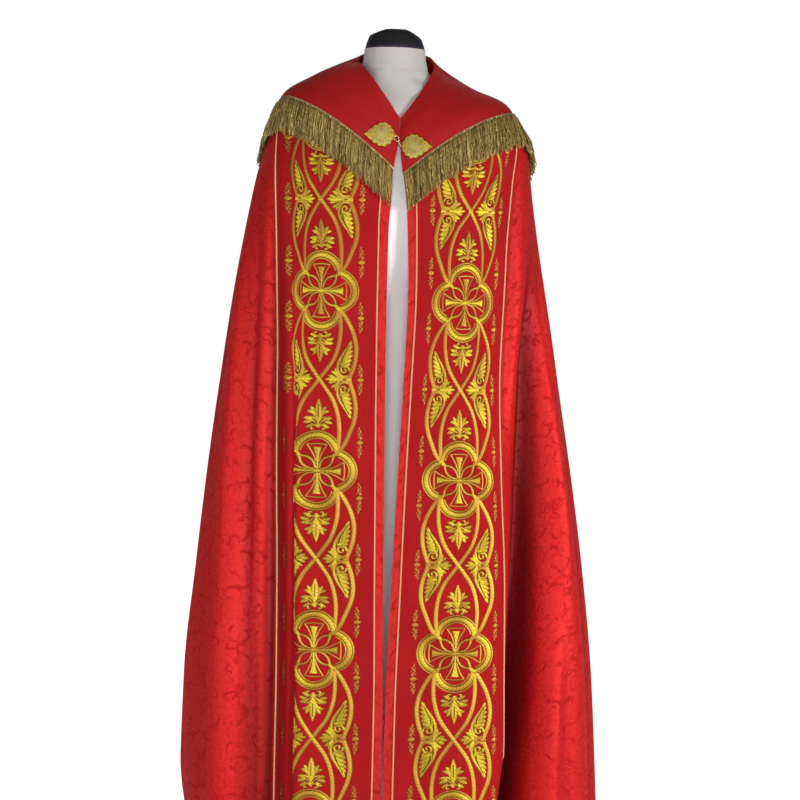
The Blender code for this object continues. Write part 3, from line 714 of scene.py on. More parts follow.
# Each ring: frontZ leftZ rightZ backZ, how far out left right front back, leftEdge rightEdge, how far
# round leftBand rightBand, power (how square), leftEase rightEase (how late the front climbs).
levelRows = np.array([
    (1.466, 1.582, 1.576, 1.609, .074, .079, .100, .074, .0125, .0160, .127, .125, 2.0, 1.20, 0.75),
    (1.442, 1.572, 1.556, 1.587, .114, .102, .107, .085, .0120, .0163, .158, .152, 2.0, 1.25, 1.0),
    (1.410, 1.548, 1.533, 1.549, .164, .151, .116, .097, .0100, .0175, .200, .192, 2.0, 1.4, 1.3),
    (1.367, 1.515, 1.503, 1.499, .217, .223, .126, .109, .0040, .0215, .250, .239, 2.1, 1.5, 1.5),
    (1.330, 1.472, 1.462, 1.455, .237, .251, .132, .119, .0020, .0270, .253, .237, 2.2, 1.5, 1.5),
    (1.290, 1.425, 1.421, 1.411, .251, .272, .138, .129, .0010, .0320, .250, .232, 2.2, 1.5, 1.5),
    (1.230, 1.358, 1.356, 1.345, .269, .282, .145, .144, -.002, .0360, .240, .215, 2.3, 1.5, 1.5),
    (1.100, 1.214, 1.213, 1.202, .299, .304, .158, .180, -.002, .0400, .228, .197, 2.4, 1.5, 1.5),
    (0.920, 1.015, 1.014, 1.007, .330, .340, .176, .225, .0000, .0350, .222, .193, 2.5, 1.5, 1.5),
    (0.720, 0.794, 0.794, 0.790, .359, .379, .194, .268, .0040, .0280, .221, .207, 2.6, 1.5, 1.5),
    (0.520, 0.573, 0.573, 0.572, .384, .413, .212, .306, .0080, .0220, .218, .226, 2.6, 1.5, 1.5),
    (0.320, 0.353, 0.353, 0.354, .405, .439, .229, .338, .0125, .0175, .218, .235, 2.7, 1.5, 1.5),
    (0.160, 0.176, 0.176, 0.178, .407, .452, .241, .356, .0135, .0170, .219, .240, 2.7, 1.5, 1.5),
    (0.040, 0.044, 0.044, 0.045, .388, .460, .249, .364, .0140, .0170, .219, .243, 2.7, 1.5, 1.5),
])

# Folds: place from band to band (0 to 1), half width, depth at the hem, level where it starts, lean.
foldRows = [
    (-.004, 0.022, 0.026, 1.320, 0.000),
    (0.009, 0.011, 0.022, 1.330, 0.000),
    (0.034, 0.012, 0.010, 1.280, 0.000),
    (0.078, 0.024, 0.003, 1.050, 0.004),
    (0.150, 0.044, 0.048, 1.060, 0.006),
    (0.226, 0.036, 0.074, 1.240, 0.008),
    (0.300, 0.040, 0.092, 1.150, 0.000),
    (0.372, 0.034, 0.078, 1.260, -0.004),
    (0.436, 0.034, 0.098, 1.120, 0.004),
    (0.506, 0.038, 0.086, 1.220, 0.000),
    (0.574, 0.032, 0.100, 1.140, -0.006),
    (0.640, 0.036, 0.080, 1.250, 0.000),
    (0.712, 0.038, 0.090, 1.100, -0.006),
    (0.786, 0.040, 0.066, 1.200, 0.004),
    (0.868, 0.036, 0.026, 0.980, 0.000),
    (0.902, 0.052, 0.138, 1.270, 0.106),
]

# Creases: place, top level, bottom level, half width, depth (a ridge is negative), drift, bow.
creaseRows = [
    (0.0470, 1.31, 0.04, 0.0080, 0.0040, -.026, 0.0000),
    (0.0930, 1.32, 0.04, 0.0190, -.0150, -.043, -.0080),
    (0.0760, 1.10, 0.04, 0.0330, -.0100, 0.004, 0.0000),
    (0.0160, 0.66, 0.04, 0.0110, 0.0120, 0.000, 0.0000),
    (0.0240, 0.44, 0.04, 0.0110, 0.0180, 0.000, 0.0000),
    (-.0060, 1.36, 0.04, 0.0090, 0.0060, 0.000, 0.0000),
    (-.0315, 1.00, 0.04, 0.0040, 0.0125, 0.0117, 0.0035),
    (0.9860, 1.34, 0.04, 0.0130, 0.0160, 0.006, 0.0000),
    (0.9120, 1.20, 0.04, 0.0150, -.0150, 0.000, 0.0000),
    (0.9380, 0.96, 0.04, 0.0120, -.0130, 0.010, 0.0000),
    (0.094, 1.22, 0.62, 0.0075, 0.0032, 0.012, -.004),
    (0.112, 0.86, 0.04, 0.0090, -.0040, 0.004, 0.003),
    (0.128, 1.26, 0.76, 0.0065, 0.0028, 0.010, 0.000),
    (0.139, 0.58, 0.04, 0.0080, 0.0040, -.006, 0.000),
    (0.178, 1.10, 0.30, 0.0085, -.0036, 0.009, 0.004),
    (0.196, 0.74, 0.04, 0.0070, 0.0034, 0.000, -.003),
    (0.252, 1.18, 0.48, 0.0080, -.0038, -.006, 0.002),
    (0.274, 0.66, 0.04, 0.0070, 0.0030, 0.004, 0.000),
    (0.334, 1.04, 0.22, 0.0080, 0.0036, 0.006, -.003),
    (0.404, 0.92, 0.04, 0.0085, -.0042, -.004, 0.003),
    (0.470, 1.06, 0.36, 0.0070, 0.0034, 0.005, 0.000),
    (0.538, 0.80, 0.04, 0.0085, -.0040, 0.003, -.003),
    (0.606, 1.10, 0.28, 0.0075, 0.0034, -.006, 0.002),
    (0.674, 0.70, 0.04, 0.0080, -.0038, 0.004, 0.000),
    (0.742, 1.12, 0.42, 0.0085, 0.0036, -.007, -.003),
    (0.762, 0.58, 0.04, 0.0070, -.0034, 0.003, 0.000),
    (0.826, 1.20, 0.66, 0.0070, 0.0030, -.010, 0.003),
    (0.842, 0.78, 0.04, 0.0090, -.0040, -.003, 0.000),
    (0.896, 1.16, 0.52, 0.0065, 0.0030, -.008, 0.002),
    (0.910, 0.60, 0.04, 0.0080, 0.0036, 0.004, 0.000),
    (-.026, 1.16, 0.58, 0.0090, -.0016, 0.004, 0.000),
    (-.060, 0.90, 0.20, 0.0130, 0.0018, -.006, 0.004),
    (-.086, 1.08, 0.50, 0.0100, -.0014, 0.005, 0.000),
    (-.040, 0.46, 0.04, 0.0120, -.0020, 0.004, 0.000),
    (1.032, 1.12, 0.48, 0.0110, 0.0016, -.005, 0.003),
    (1.066, 0.86, 0.16, 0.0130, -.0018, 0.006, 0.000),
    (1.088, 0.58, 0.04, 0.0100, 0.0016, -.003, 0.000),
    (1.048, 0.40, 0.04, 0.0110, 0.0020, 0.004, 0.000),
]

levelPlaces = -levelRows[:, 0]
levelSteps = np.diff(levelPlaces)
levelSlopes = np.diff(levelRows, axis=0) / levelSteps[:, None]


def middleSlopes():
    above, below = levelSlopes[:-1], levelSlopes[1:]
    product = above * below
    total = np.where(above + below == 0, 1, above + below)
    return np.where(product > 0, 2 * product / total, 0)


levelTangents = np.vstack([levelSlopes[:1], middleSlopes(), levelSlopes[-1:]])


def rowAt(level):
    at = min(max(-level, levelPlaces[0]), levelPlaces[-1])
    i = int(min(max(np.searchsorted(levelPlaces, at) - 1, 0), len(levelSteps) - 1))
    h = levelSteps[i]
    t = (at - levelPlaces[i]) / h
    return (
        (1 + 2 * t) * (1 - t) ** 2 * levelRows[i]
        + t * (1 - t) ** 2 * h * levelTangents[i]
        + t * t * (3 - 2 * t) * levelRows[i + 1]
        + t * t * (t - 1) * h * levelTangents[i + 1]
    )


def foldDepth(place, level):
    depth = np.zeros_like(place)
    for at, half, deep, start, lean in foldRows:
        grown = (start - level) / (start - cloth["hemLevel"])
        if grown <= 0:
            continue
        centre = at + lean * grown
        # A fold beside the right band stops at the band's edge, so its wall there is steep.
        reach = np.where(place > centre, min(half, max(1.001 - centre, cloth["steepWall"])), half)
        away = np.abs(place - centre) / reach
        valley = np.where(away < 1, (0.5 + 0.5 * np.cos(math.pi * np.minimum(away, 1))) ** 1.25, 0)
        depth += deep * smoothstep(3 * grown) * grown**0.75 * valley
    for at, top, bottom, half, deep, drift, bow in creaseRows:
        run = (top - level) / (top - bottom)
        if run <= 0 or run >= 1.0001:
            continue
        fade = math.sin(math.pi * run) if bottom > cloth["hemLevel"] else math.sin(math.pi / 2 * run)
        centre = at + drift * run + bow * math.sin(math.pi * run)
        depth += deep * fade**0.8 * np.exp(-(((place - centre) / half) ** 2))
    return depth


ringsMade = {}


def widened(pressed, along, reach):
    # The mean depth over a stretch of cloth, to tell a fold's bottom from its crest.
    total = np.concatenate([[0], np.cumsum((pressed[1:] + pressed[:-1]) / 2 * np.diff(along))])
    first, last = np.maximum(along - reach, 0), np.minimum(along + reach, along[-1])
    return (np.interp(last, along, total) - np.interp(first, along, total)) / (last - first)


def ringAt(level, folded):
    # The cloth's outline at a level, from the left front edge round the back to the right front edge.
    key = (round(float(level), 6), folded)
    if key in ringsMade:
        return ringsMade[key]
    (frontZ, leftZ, rightZ, backZ, left, right, front, back,
     leftEdge, rightEdge, leftBand, rightBand, power, leftEase, rightEase) = rowAt(key[0])
    overlap = cloth["ringOverlap"]
    turn = np.linspace(-overlap, 2 * math.pi + overlap, cloth["ringPoints"])
    side = np.where(np.sin(turn) > 0, left, right)
    depth = np.where(np.cos(turn) > 0, front, back)
    radius = (np.abs(np.sin(turn) / side) ** power + np.abs(np.cos(turn) / depth) ** power) ** (-1 / power)
    x, y = -radius * np.sin(turn), -radius * np.cos(turn)
    nearStart, nearEnd = turn < overlap, turn > 2 * math.pi - overlap
    first = np.interp(-leftEdge, -x[nearStart], turn[nearStart])
    last = np.interp(-rightEdge, -x[nearEnd], turn[nearEnd])
    kept = np.linspace(first, last, cloth["clothPoints"])
    x, y = np.interp(kept, turn, x), np.interp(kept, turn, y)
    middle = (leftEdge + rightEdge) / 2
    sideZ = np.where(x < 0, leftZ, rightZ)
    outward = np.where(x < middle, (middle - x) / (middle + left), (x - middle) / (right - middle))
    climb = np.clip(1 - outward, 0, 1) ** np.where(x < middle, leftEase, rightEase)
    behind = np.clip(y / back, 0, 1)
    z = np.where(y < 0, sideZ - (sideZ - frontZ) * climb, sideZ + (backZ - sideZ) * behind * (2 - behind))
    along = np.concatenate([[0], np.cumsum(np.hypot(np.diff(x), np.diff(y)))])
    length = along[-1]
    hollow = np.zeros(len(along))
    if folded:
        place = (along - leftBand) / (length - leftBand - rightBand)
        pressed = foldDepth(place, key[0])
        nearby, farther = (widened(pressed, along, cloth[name]) for name in ("nearCloth", "farCloth"))
        hollow = 1.6 * pressed - nearby - 0.6 * farther
        tangentX, tangentY = np.gradient(x, along), np.gradient(y, along)
        size = np.hypot(tangentX, tangentY)
        x, y = x + pressed * tangentY / size, y - pressed * tangentX / size
    points = np.stack([x, y, z], axis=1)
    ringsMade[key] = {"along": along, "points": points, "length": length, "real": pathLengths(points),
                      "hollow": hollow, "leftBand": leftBand, "rightBand": rightBand}
    return ringsMade[key]


def distancesIn(columns, ring):
    # Columns are rows of kind, value and shift. Kind is 0 from the left edge, 1 from the right edge and
    # 2 round the cloth between the bands.
    kind, value, shift = columns.T
    fromLeft = value * ring["leftBand"] / cloth["bandReach"]
    fromRight = ring["length"] - value * ring["rightBand"] / cloth["bandReach"]
    between = ring["length"] - ring["leftBand"] - ring["rightBand"]
    fromBand = ring["leftBand"] + value * between
    return np.where(kind == 0, fromLeft, np.where(kind == 1, fromRight, fromBand)) + shift


def readRing(ring, at):
    return np.stack([np.interp(at, ring["along"], ring["points"][:, k]) for k in range(3)], axis=1)


def clothGrid(levels, columns, folded=True, reach=0.004):
    # Points in the middle of the wall, their outward normals, the distance round the cloth and how
    # far each lies below the cloth around it.
    columns = np.array(columns)
    points, normals, rounds, hollows = [], [], [], []
    for level in levels:
        ring = ringAt(level, folded)
        at = distancesIn(columns, ring)
        back, ahead = np.minimum(0.002, at), np.minimum(0.002, ring["length"] - at)
        across = readRing(ring, at + ahead) - readRing(ring, at - back)
        above = ringAt(min(level + reach, cloth["neckLevel"]), folded)
        below = ringAt(max(level - reach, cloth["hemLevel"]), folded)
        down = readRing(below, distancesIn(columns, below)) - readRing(above, distancesIn(columns, above))
        normal = np.cross(across, down)
        points.append(readRing(ring, at))
        normals.append(normal / np.linalg.norm(normal, axis=1, keepdims=True))
        rounds.append(np.interp(at, ring["along"], ring["real"]))
        hollows.append(np.interp(at, ring["along"], ring["hollow"]))
    return np.array(points), np.array(normals), np.array(rounds), np.array(hollows)


def clothUv(points, rounds, reference):
    # Metres round the cloth from one column, and metres down from the neck.
    down = np.linalg.norm(np.diff(points, axis=0), axis=2)
    down = np.vstack([np.zeros((1, points.shape[1])), np.cumsum(down, axis=0)])
    return np.stack([rounds - rounds[:, reference : reference + 1], -down], axis=2)


def evenLevels(top, bottom, step):
    return np.linspace(top, bottom, int(round((top - bottom) / step)) + 1)


def bandColumns(side, steps, shift=0.0):
    return [(0.0 if side == "left" else 1.0, value, shift) for value in steps]


def wrapColumns(start, end, count, startShift=0.0, endShift=0.0):
    rows = [(2.0, value, 0.0) for value in np.linspace(start, end, count)]
    rows[0] = (2.0, start, startShift)
    rows[-1] = (2.0, end, endShift)
    return rows


# The damask body: left front, back and right front.

body = {
    "sideColumns": 104,
    "backColumns": 184,
    "bandSteps": 66,
    "seamShift": 0.000165,  # each panel stops this far short of the seam's middle
}


def buildBody():
    levels = evenLevels(cloth["neckLevel"], cloth["hemLevel"], cloth["rowStep"])
    reach = (levels[0] - levels[1]) / 2
    bandSteps = np.linspace(0.0, cloth["bandReach"], body["bandSteps"])
    shift = body["seamShift"]
    leftColumns = bandColumns("left", bandSteps)[:-1]
    reference = len(leftColumns)
    leftColumns += wrapColumns(0.0, cloth["leftSeam"], body["sideColumns"], 0.0, -shift)
    backColumns = wrapColumns(cloth["leftSeam"], cloth["rightSeam"], body["backColumns"], shift, -shift)
    rightColumns = wrapColumns(cloth["rightSeam"], 1.0, body["sideColumns"], shift, 0.0)
    rightReference = len(rightColumns) - 1
    rightColumns += bandColumns("right", bandSteps[::-1])[1:]
    made = []
    for name, columns, at in (
        ("bodyLeft", leftColumns, reference),
        ("bodyBack", backColumns, len(backColumns) // 2),
        ("bodyRight", rightColumns, rightReference),
    ):
        points, normals, rounds, hollows = clothGrid(levels, columns, True, reach)
        uv = clothUv(points, rounds, at)
        outer, inner = points + normals * wallTop, points - normals * wallTop
        made.append(shellObject(name, outer, inner, uv, bodyCloth, liningCloth, hollows))
    return made


bodyLeft, bodyBack, bodyRight = buildBody()
print("body panels", [len(piece.data.polygons) for piece in (bodyLeft, bodyBack, bodyRight)])


# The orphreys: two long bands laid on the fronts.

orphrey = {
    "columns": 68,
    "rowStep": 0.0065,
    "inset": 0.0018,  # from the cord's middle to the band's cut edge
    "half": 0.1062,  # half the width that the flat design covers
    "tucked": 2.3,  # metres of design to a metre of cloth, past which it is tucked in
}

# How the design lies on each band: height, rise of the design there, then the millimetres from the
# band's middle where the design's outer beads, outer rim, outer quarter, middle and inner rim come.
designRows = {
    "left": (
        (1.300, -.0028, -82, -68.0, -40.0, -6.5, 69),
        (1.120, -.0028, -82, -67.5, -40.5, -7.5, 69),
        (0.770, -.0028, -87, -71.5, -64.5, -13.8, 69),
        (0.420, -.0045, -89, -70.5, -60.0, -20.8, 64),
        (0.040, -.0060, -89, -70.5, -60.0, -21.0, 64),
    ),
    "right": (
        (1.300, 0.0000, 86, 77.5, 44.5, 10.0, -69),
        (1.110, 0.0000, 88, 78.5, 45.0, 10.0, -69),
        (0.760, -.0045, 95, 88.0, 52.0, 12.3, -70),
        (0.420, -.0182, 90, 82.0, 46.0, 8.2, -68),
        (0.040, -.0250, 90, 82.0, 46.0, 8.2, -68),
    ),
}
designMarks = (-81.0, -73.0, -37.0, 0.0, 73.0)      # the same five places on the flat design


def orphreyUv(points, side, steps):
    # The flat design's own coordinates at each point of the band: metres across and height.
    middle = cloth["edgeStrip"] + cloth["bandWidth"] / 2
    way = -1 if side == "left" else 1
    across = (np.asarray(steps) - middle) * way
    rows = np.array(designRows[side][::-1])
    marks = np.array(designMarks) * -way
    end = orphrey["half"] * 1000
    flat = np.zeros(points.shape[:2] + (2,))
    for i, line in enumerate(points):
        for j, point in enumerate(line):
            row = [np.interp(point[2], rows[:, 0], rows[:, k]) for k in range(1, 7)]
            places = np.array([way * end] + row[1:] + [-way * end])
            known = np.array([way * end, *marks, -way * end])
            order = np.argsort(places)
            x = np.interp(across[j] * 1000, places[order], known[order]) / 1000
            flat[i, j] = (x, point[2] + row[0])
    return flat


def buildOrphrey(side):
    inner = cloth["edgeStrip"] + orphrey["inset"]
    outer = cloth["bandReach"] - orphrey["inset"]
    steps = np.linspace(inner, outer, orphrey["columns"])
    if side == "right":
        steps = steps[::-1]
    levels = evenLevels(cloth["bandTopLevel"], cloth["hemLevel"], orphrey["rowStep"])
    points, normals, rounds, hollows = clothGrid(levels, bandColumns(side, steps))
    uv = orphreyUv(points, side, steps)
    name = "orphrey" + side.capitalize()
    outer, inner = points + normals * bandTop, points + normals * bandBottom
    made = shellObject(name, outer, inner, uv, orphreyCloth, liningCloth, hollows)
    # Where much of the design goes into little cloth it is tucked in a crease and isn't seen.
    taken = np.abs(np.diff(uv[:-1, :, 0], axis=1)) / np.abs(np.diff(steps))
    tucked = taken > orphrey["tucked"]
    tucked = np.any([np.roll(tucked, shift, axis=1) for shift in range(4)], axis=0)
    bed = bedObject(name + "Bed", points + normals * bandTop, normals, uv, hollows, tucked)
    return made, bed


def bedObject(name, points, normals, uv, hollows=None, without=None):
    # The surface that flat work is laid on: flat coordinates as UV, and the way out as an attribute.
    rows, columns = points.shape[:2]
    depths = np.zeros(rows * columns) if hollows is None else hollows.reshape(-1)
    faces = gridFaces(rows, columns)
    if without is not None:
        faces = faces.reshape(rows - 1, columns - 1, 4)[~without]
    numbers = {"outward": normals.reshape(-1, 3), "hollow": depths}
    made = meshObject(name, points.reshape(-1, 3), faces, (), uv=uv.reshape(-1, 2), numbers=numbers)
    made.hide_render = True
    return made


orphreyLeft, bedLeft = buildOrphrey("left")
orphreyRight, bedRight = buildOrphrey("right")
print("orphreys", len(orphreyLeft.data.polygons))


# Laying flat work on the cloth, for the fringe, the embroidery and the clasp's leaves.

laying = {
    "swayScale": 85.0,  # waves of sway to a metre
    "swayMiddle": (0.5, 0.5, 0.42),  # strands sway outwards a little more than inwards
    "seed": 3,
}


def layingTree():
    tree = bpy.data.node_groups.new("layOnCloth", "GeometryNodeTree")
    tree.interface.new_socket(name="Geometry", in_out="OUTPUT", socket_type="NodeSocketGeometry")
    for kind, names in (
        ("Geometry", ["Geometry"]),
        ("Object", ["Bed"]),
        ("Vector", ["First", "Step", "Scatter", "Lowest", "Highest"]),
        ("Float", ["Tilt", "Spin", "Shortest", "Sway"]),
        ("Int", ["Repeats", "Seed"]),
        ("Material", ["Material"]),
    ):
        for name in names:
            tree.interface.new_socket(name=name, in_out="INPUT", socket_type="NodeSocket" + kind)
    source = tree.nodes.new("NodeGroupInput").outputs

    def geometry(kind, inputs, **settings):
        return addNode(tree, "GeometryNode" + kind, inputs, **settings).outputs[0]

    def named(name, kind="FLOAT_VECTOR"):
        return geometry("InputNamedAttribute", {"Name": name}, data_type=kind)

    def vectorOf(inputs):
        return addNode(tree, "ShaderNodeCombineXYZ", inputs).outputs[0]

    def randomly(low, high, shift):
        seed = plus(source["Seed"], float(shift))
        inputs = {2: low, 3: high, "Seed": seed}
        return addNode(tree, "FunctionNodeRandomValue", inputs, data_type="FLOAT").outputs[1]

    # Copies stand in a row, each a little out of its place, tilted, spun and shortened.
    line = geometry("MeshLine", {"Count": source["Repeats"], "Start Location": source["First"],
                                 "Offset": source["Step"]}, mode="OFFSET")
    scatter = source["Scatter"]
    limits = {0: vectorCalc("SCALE", scatter, -1.0), 1: scatter, "Seed": source["Seed"]}
    spread = addNode(tree, "FunctionNodeRandomValue", limits, data_type="FLOAT_VECTOR").outputs[0]
    moved = geometry("SetPosition", {"Geometry": line, "Offset": spread})
    tilt = randomly(times(source["Tilt"], -1.0), source["Tilt"], 1)
    turn = vectorOf({1: randomly(0.0, source["Spin"], 2), 2: tilt})
    size = vectorOf({0: 1.0, 1: randomly(source["Shortest"], 1.0, 3), 2: 1.0})
    copies = geometry("InstanceOnPoints", {"Points": moved, "Instance": source["Geometry"],
                                           "Rotation": turn, "Scale": size})
    shade = {"Geometry": copies, "Name": "shade", "Value": randomly(0.0, 1.0, 4)}
    shaded = geometry("StoreNamedAttribute", shade, data_type="FLOAT", domain="INSTANCE")
    real = geometry("RealizeInstances", {0: shaded})

    # Flat coordinates are looked up on the bed.
    here = geometry("InputPosition", {})
    flat = vectorCalc("MAXIMUM", here, source["Lowest"])
    flat = vectorCalc("MINIMUM", flat, source["Highest"])
    bed = addNode(tree, "GeometryNodeObjectInfo", {"Object": source["Bed"]}).outputs["Geometry"]
    bedPlace, outward = named("cloth"), named("outward")

    def onBed(value):
        node = addNode(tree, "GeometryNodeSampleUVSurface", data_type="FLOAT_VECTOR")
        sockets = {socket.name: socket for socket in node.inputs}
        feed(bed, sockets["Mesh"])
        feed(value, sockets["Value"])
        feed(bedPlace, sockets["UV Map"] if "UV Map" in sockets else sockets["Source UV Map"])
        feed(flat, sockets["Sample UV"])
        return node.outputs

    # What would pass the bed's ends is cut off.
    spot = numbersOf(here)
    tooHigh = calc("GREATER_THAN", spot[1], numbersOf(source["Highest"])[1])
    tooLow = calc("LESS_THAN", spot[1], numbersOf(source["Lowest"])[1])
    offBed = minus(1.0, onBed(outward)["Is Valid"])
    beyond = plus(plus(tooHigh, tooLow), offBed)
    cut = geometry("DeleteGeometry", {"Geometry": real, "Selection": beyond}, domain="POINT")

    # Long strands sway more and more towards their ends.
    drift = vectorCalc("SUBTRACT", noise(here, laying["swayScale"], 1.5, 1), laying["swayMiddle"])
    drift = vectorCalc("SCALE", drift, times(times(spot[1], -1.0), source["Sway"]))
    swayed = geometry("SetPosition", {"Geometry": cut, "Offset": drift})

    # The height goes out along the bed's normal, and the bed's hollows are passed on for the painted fold
    # shade.
    out = vectorCalc("NORMALIZE", onBed(outward)[0])
    out = vectorCalc("SCALE", out, spot[2])
    final = vectorCalc("ADD", onBed(here)[0], out)
    sunk = numbersOf(onBed(vectorOf({0: named("hollow", "FLOAT")}))[0])[0]
    marked = geometry("StoreNamedAttribute", {"Geometry": swayed, "Name": "hollow", "Value": sunk},
                      data_type="FLOAT", domain="POINT")
    laid = geometry("SetPosition", {"Geometry": marked, "Position": final})
    painted = geometry("SetMaterial", {"Geometry": laid, "Material": source["Material"]})
    tree.links.new(painted, tree.nodes.new("NodeGroupOutput").inputs[0])
    return tree


layOnCloth = layingTree()


def laidOn(name, flatPiece, bed, surface, **values):
    # Runs the tree on a flat piece and keeps the result as a plain mesh.
    still = (0, 0, 0)
    settings = {"Bed": bed, "Repeats": 1, "First": still, "Step": still, "Scatter": still, "Tilt": 0.0,
                "Spin": 0.0, "Shortest": 1.0, "Sway": 0.0, "Seed": laying["seed"], "Material": surface}
    settings.update(values)
    modifier = flatPiece.modifiers.new("lay", "NODES")
    modifier.node_group = layOnCloth
    for socket in layOnCloth.interface.items_tree:
        if socket.in_out == "INPUT" and socket.name in settings:
            modifier[socket.identifier] = settings[socket.name]
    graph = bpy.context.evaluated_depsgraph_get()
    evaluated = flatPiece.evaluated_get(graph)
    mesh = bpy.data.meshes.new_from_object(evaluated, preserve_all_data_layers=True, depsgraph=graph)
    flatPiece.modifiers.remove(modifier)
    mesh.name = name
    mesh.shade_smooth()
    made = linked(name, mesh)
    bpy.data.objects.remove(flatPiece)
    return made


# Flat needlework: crowned strokes of satin stitch, from a tone of -1 (veins) to 2 (faint).

needle = {
    # Across, height and how far out into the dark outline that lies on the ground, partly a couched line
    # and partly painted shadow.
    "profile": ((-1.0, 0.0, -1), (-1.0, 0.35, 0), (-0.60, 0.82, 0), (0.0, 1.0, 0),
                (0.60, 0.82, 0), (1.0, 0.35, 0), (1.0, 0.0, 1)),
    "outline": 0.0015,
    "fullHeightFrom": 0.0018,  # half width below which a stroke lies lower
    "under": -0.0002,  # how far its outline sinks into the ground
    "step": 0.005,
    "lobeHigh": 0.0011,
    "lobeShape": (0.35, 0.62, 0.88, 1.0, 0.88, 0.55, 0.08),
    "veinWide": 0.0015,
    "veinHigh": 0.0006,
    "lineHigh": 0.0010,
}


class FlatWork:
    # Collects strokes as points, faces, UV, tones and the way that their threads run.
    def __init__(self):
        self.points, self.faces, self.uv, self.tones, self.ways, self.count = [], [], [], [], [], 0

    def stroke(self, path, width, height, tone=0.0, lift=0.0, mirror=False):
        path = np.asarray(path, dtype=float)
        ahead = np.gradient(path, axis=0)
        ahead /= np.maximum(np.linalg.norm(ahead, axis=1, keepdims=True), 1e-9)
        side = np.stack([ahead[:, 1], -ahead[:, 0]], axis=1)
        lines, total = len(needle["profile"]), len(path)
        half = np.broadcast_to(np.asarray(width, dtype=float) / 2, total)
        rise = np.broadcast_to(np.asarray(height, dtype=float), total)
        rise = rise * np.minimum(1, half / needle["fullHeightFrom"])
        along = pathLengths(path)
        for across, level, out in needle["profile"]:
            flat = path + side * (half * across + needle["outline"] * out)[:, None]
            z = lift + rise * level if level > 0 else np.full(total, needle["under"])
            self.points.append(np.column_stack([flat, z]))
            self.uv.append(np.column_stack([along, np.full(total, across + 0.4 * out)]))
        i, j = np.meshgrid(np.arange(lines - 1), np.arange(total - 1), indexing="ij")
        corners = (i * total + j, (i + 1) * total + j, (i + 1) * total + j + 1, i * total + j + 1)
        self.faces.append(np.stack(corners, axis=-1).reshape(-1, 4) + self.count)
        self.tones.append(np.full(lines * total, tone))
        # How upright and how slanting the work runs, which sets where the sheen is painted on its threads.
        upright, slanting = ahead[:, 0] ** 2 - ahead[:, 1] ** 2, 2 * ahead[:, 0] * ahead[:, 1]
        self.ways.append(np.tile(np.column_stack([upright, slanting, np.zeros(total)]), (lines, 1)))
        self.count += lines * total
        if mirror:
            self.stroke(path[::-1] * (-1, 1), half[::-1] * 2, height, tone, lift)

    def vein(self, path, lift):
        self.stroke(curve(path), needle["veinWide"], needle["veinHigh"], -1.0, lift, mirror=True)

    def fineLine(self, path, width=0.0022, mirror=True):
        self.stroke(path, width, needle["lineHigh"], 0.05, mirror=mirror)

    def lobe(self, root, tip, width, bend, tone=1.0, lift=0.0002, middle=0.0, way=1):
        # Mirrored leaf lobes: narrow at the root, full at two thirds, pointed at the tip.
        root, tip = mm(root, tip, middle=middle, way=way)
        side = np.array([tip[1] - root[1], root[0] - tip[0]])
        t = np.linspace(0, 1, len(needle["lobeShape"]))
        path = root + (tip - root) * t[:, None] + side * (bend * way * np.sin(math.pi * t))[:, None]
        shape = width / 1000 * np.array(needle["lobeShape"])
        self.stroke(path, shape, needle["lobeHigh"], tone, lift, mirror=True)

    def object(self, name, surface):
        points, faces = np.concatenate(self.points), np.concatenate(self.faces)
        # The strokes run whichever way they were drawn: every face is turned up here.
        a, b, c = (points[faces[:, k]][:, :2] for k in (0, 1, 2))
        turned = (b[:, 0] - a[:, 0]) * (c[:, 1] - a[:, 1]) - (b[:, 1] - a[:, 1]) * (c[:, 0] - a[:, 0]) < 0
        faces[turned] = faces[turned][:, ::-1]
        numbers = {"tone": np.concatenate(self.tones), "lie": np.concatenate(self.ways)}
        uv = np.concatenate(self.uv)
        return meshObject(name, points, faces, (surface,), uv=uv, numbers=numbers, sharp=180)


def curve(points, step=None):
    # A smooth line through points (Catmull-Rom), at an even pitch.
    points = np.asarray(points, dtype=float)
    padded = np.vstack([2 * points[0] - points[1], points, 2 * points[-1] - points[-2]])
    t = np.linspace(0, 1, 12, endpoint=False)[:, None]
    line = []
    for a, b, c, d in zip(padded, padded[1:], padded[2:], padded[3:]):
        bend, twist = 2 * a - 5 * b + 4 * c - d, 3 * b - a - 3 * c + d
        line.append(0.5 * (2 * b + (c - a) * t + bend * t**2 + twist * t**3))
    line = np.vstack(line + [points[-1:]])
    along = pathLengths(line)
    count = max(3, int(round(along[-1] / (step or needle["step"]))) + 1)
    even = np.linspace(0, along[-1], count)
    return np.stack([np.interp(even, along, line[:, k]) for k in range(2)], axis=1)


def mm(*pairs, middle=0.0, way=1):
    # Points from millimetres across and up from a middle; way -1 turns them upside down.
    return np.array([(x, middle + y * way) for x, y in pairs], dtype=float) / 1000


def arc(centre, radius, start, end):
    count = max(6, int(abs(math.radians(end - start)) * radius / needle["step"]) + 2)
    turn = np.radians(np.linspace(start, end, count))
    return np.stack([centre[0] + radius * np.cos(turn), centre[1] + radius * np.sin(turn)], axis=1)


def spiral(centre, outer, inner, start, sweep, count):
    turn = np.radians(start + np.linspace(0, sweep, count))
    radius = np.linspace(outer, inner, count)
    return np.stack([centre[0] + radius * np.cos(turn), centre[1] + radius * np.sin(turn)], axis=1)


# The embroidery. Its design is drawn in millimetres from the middle of each motif.

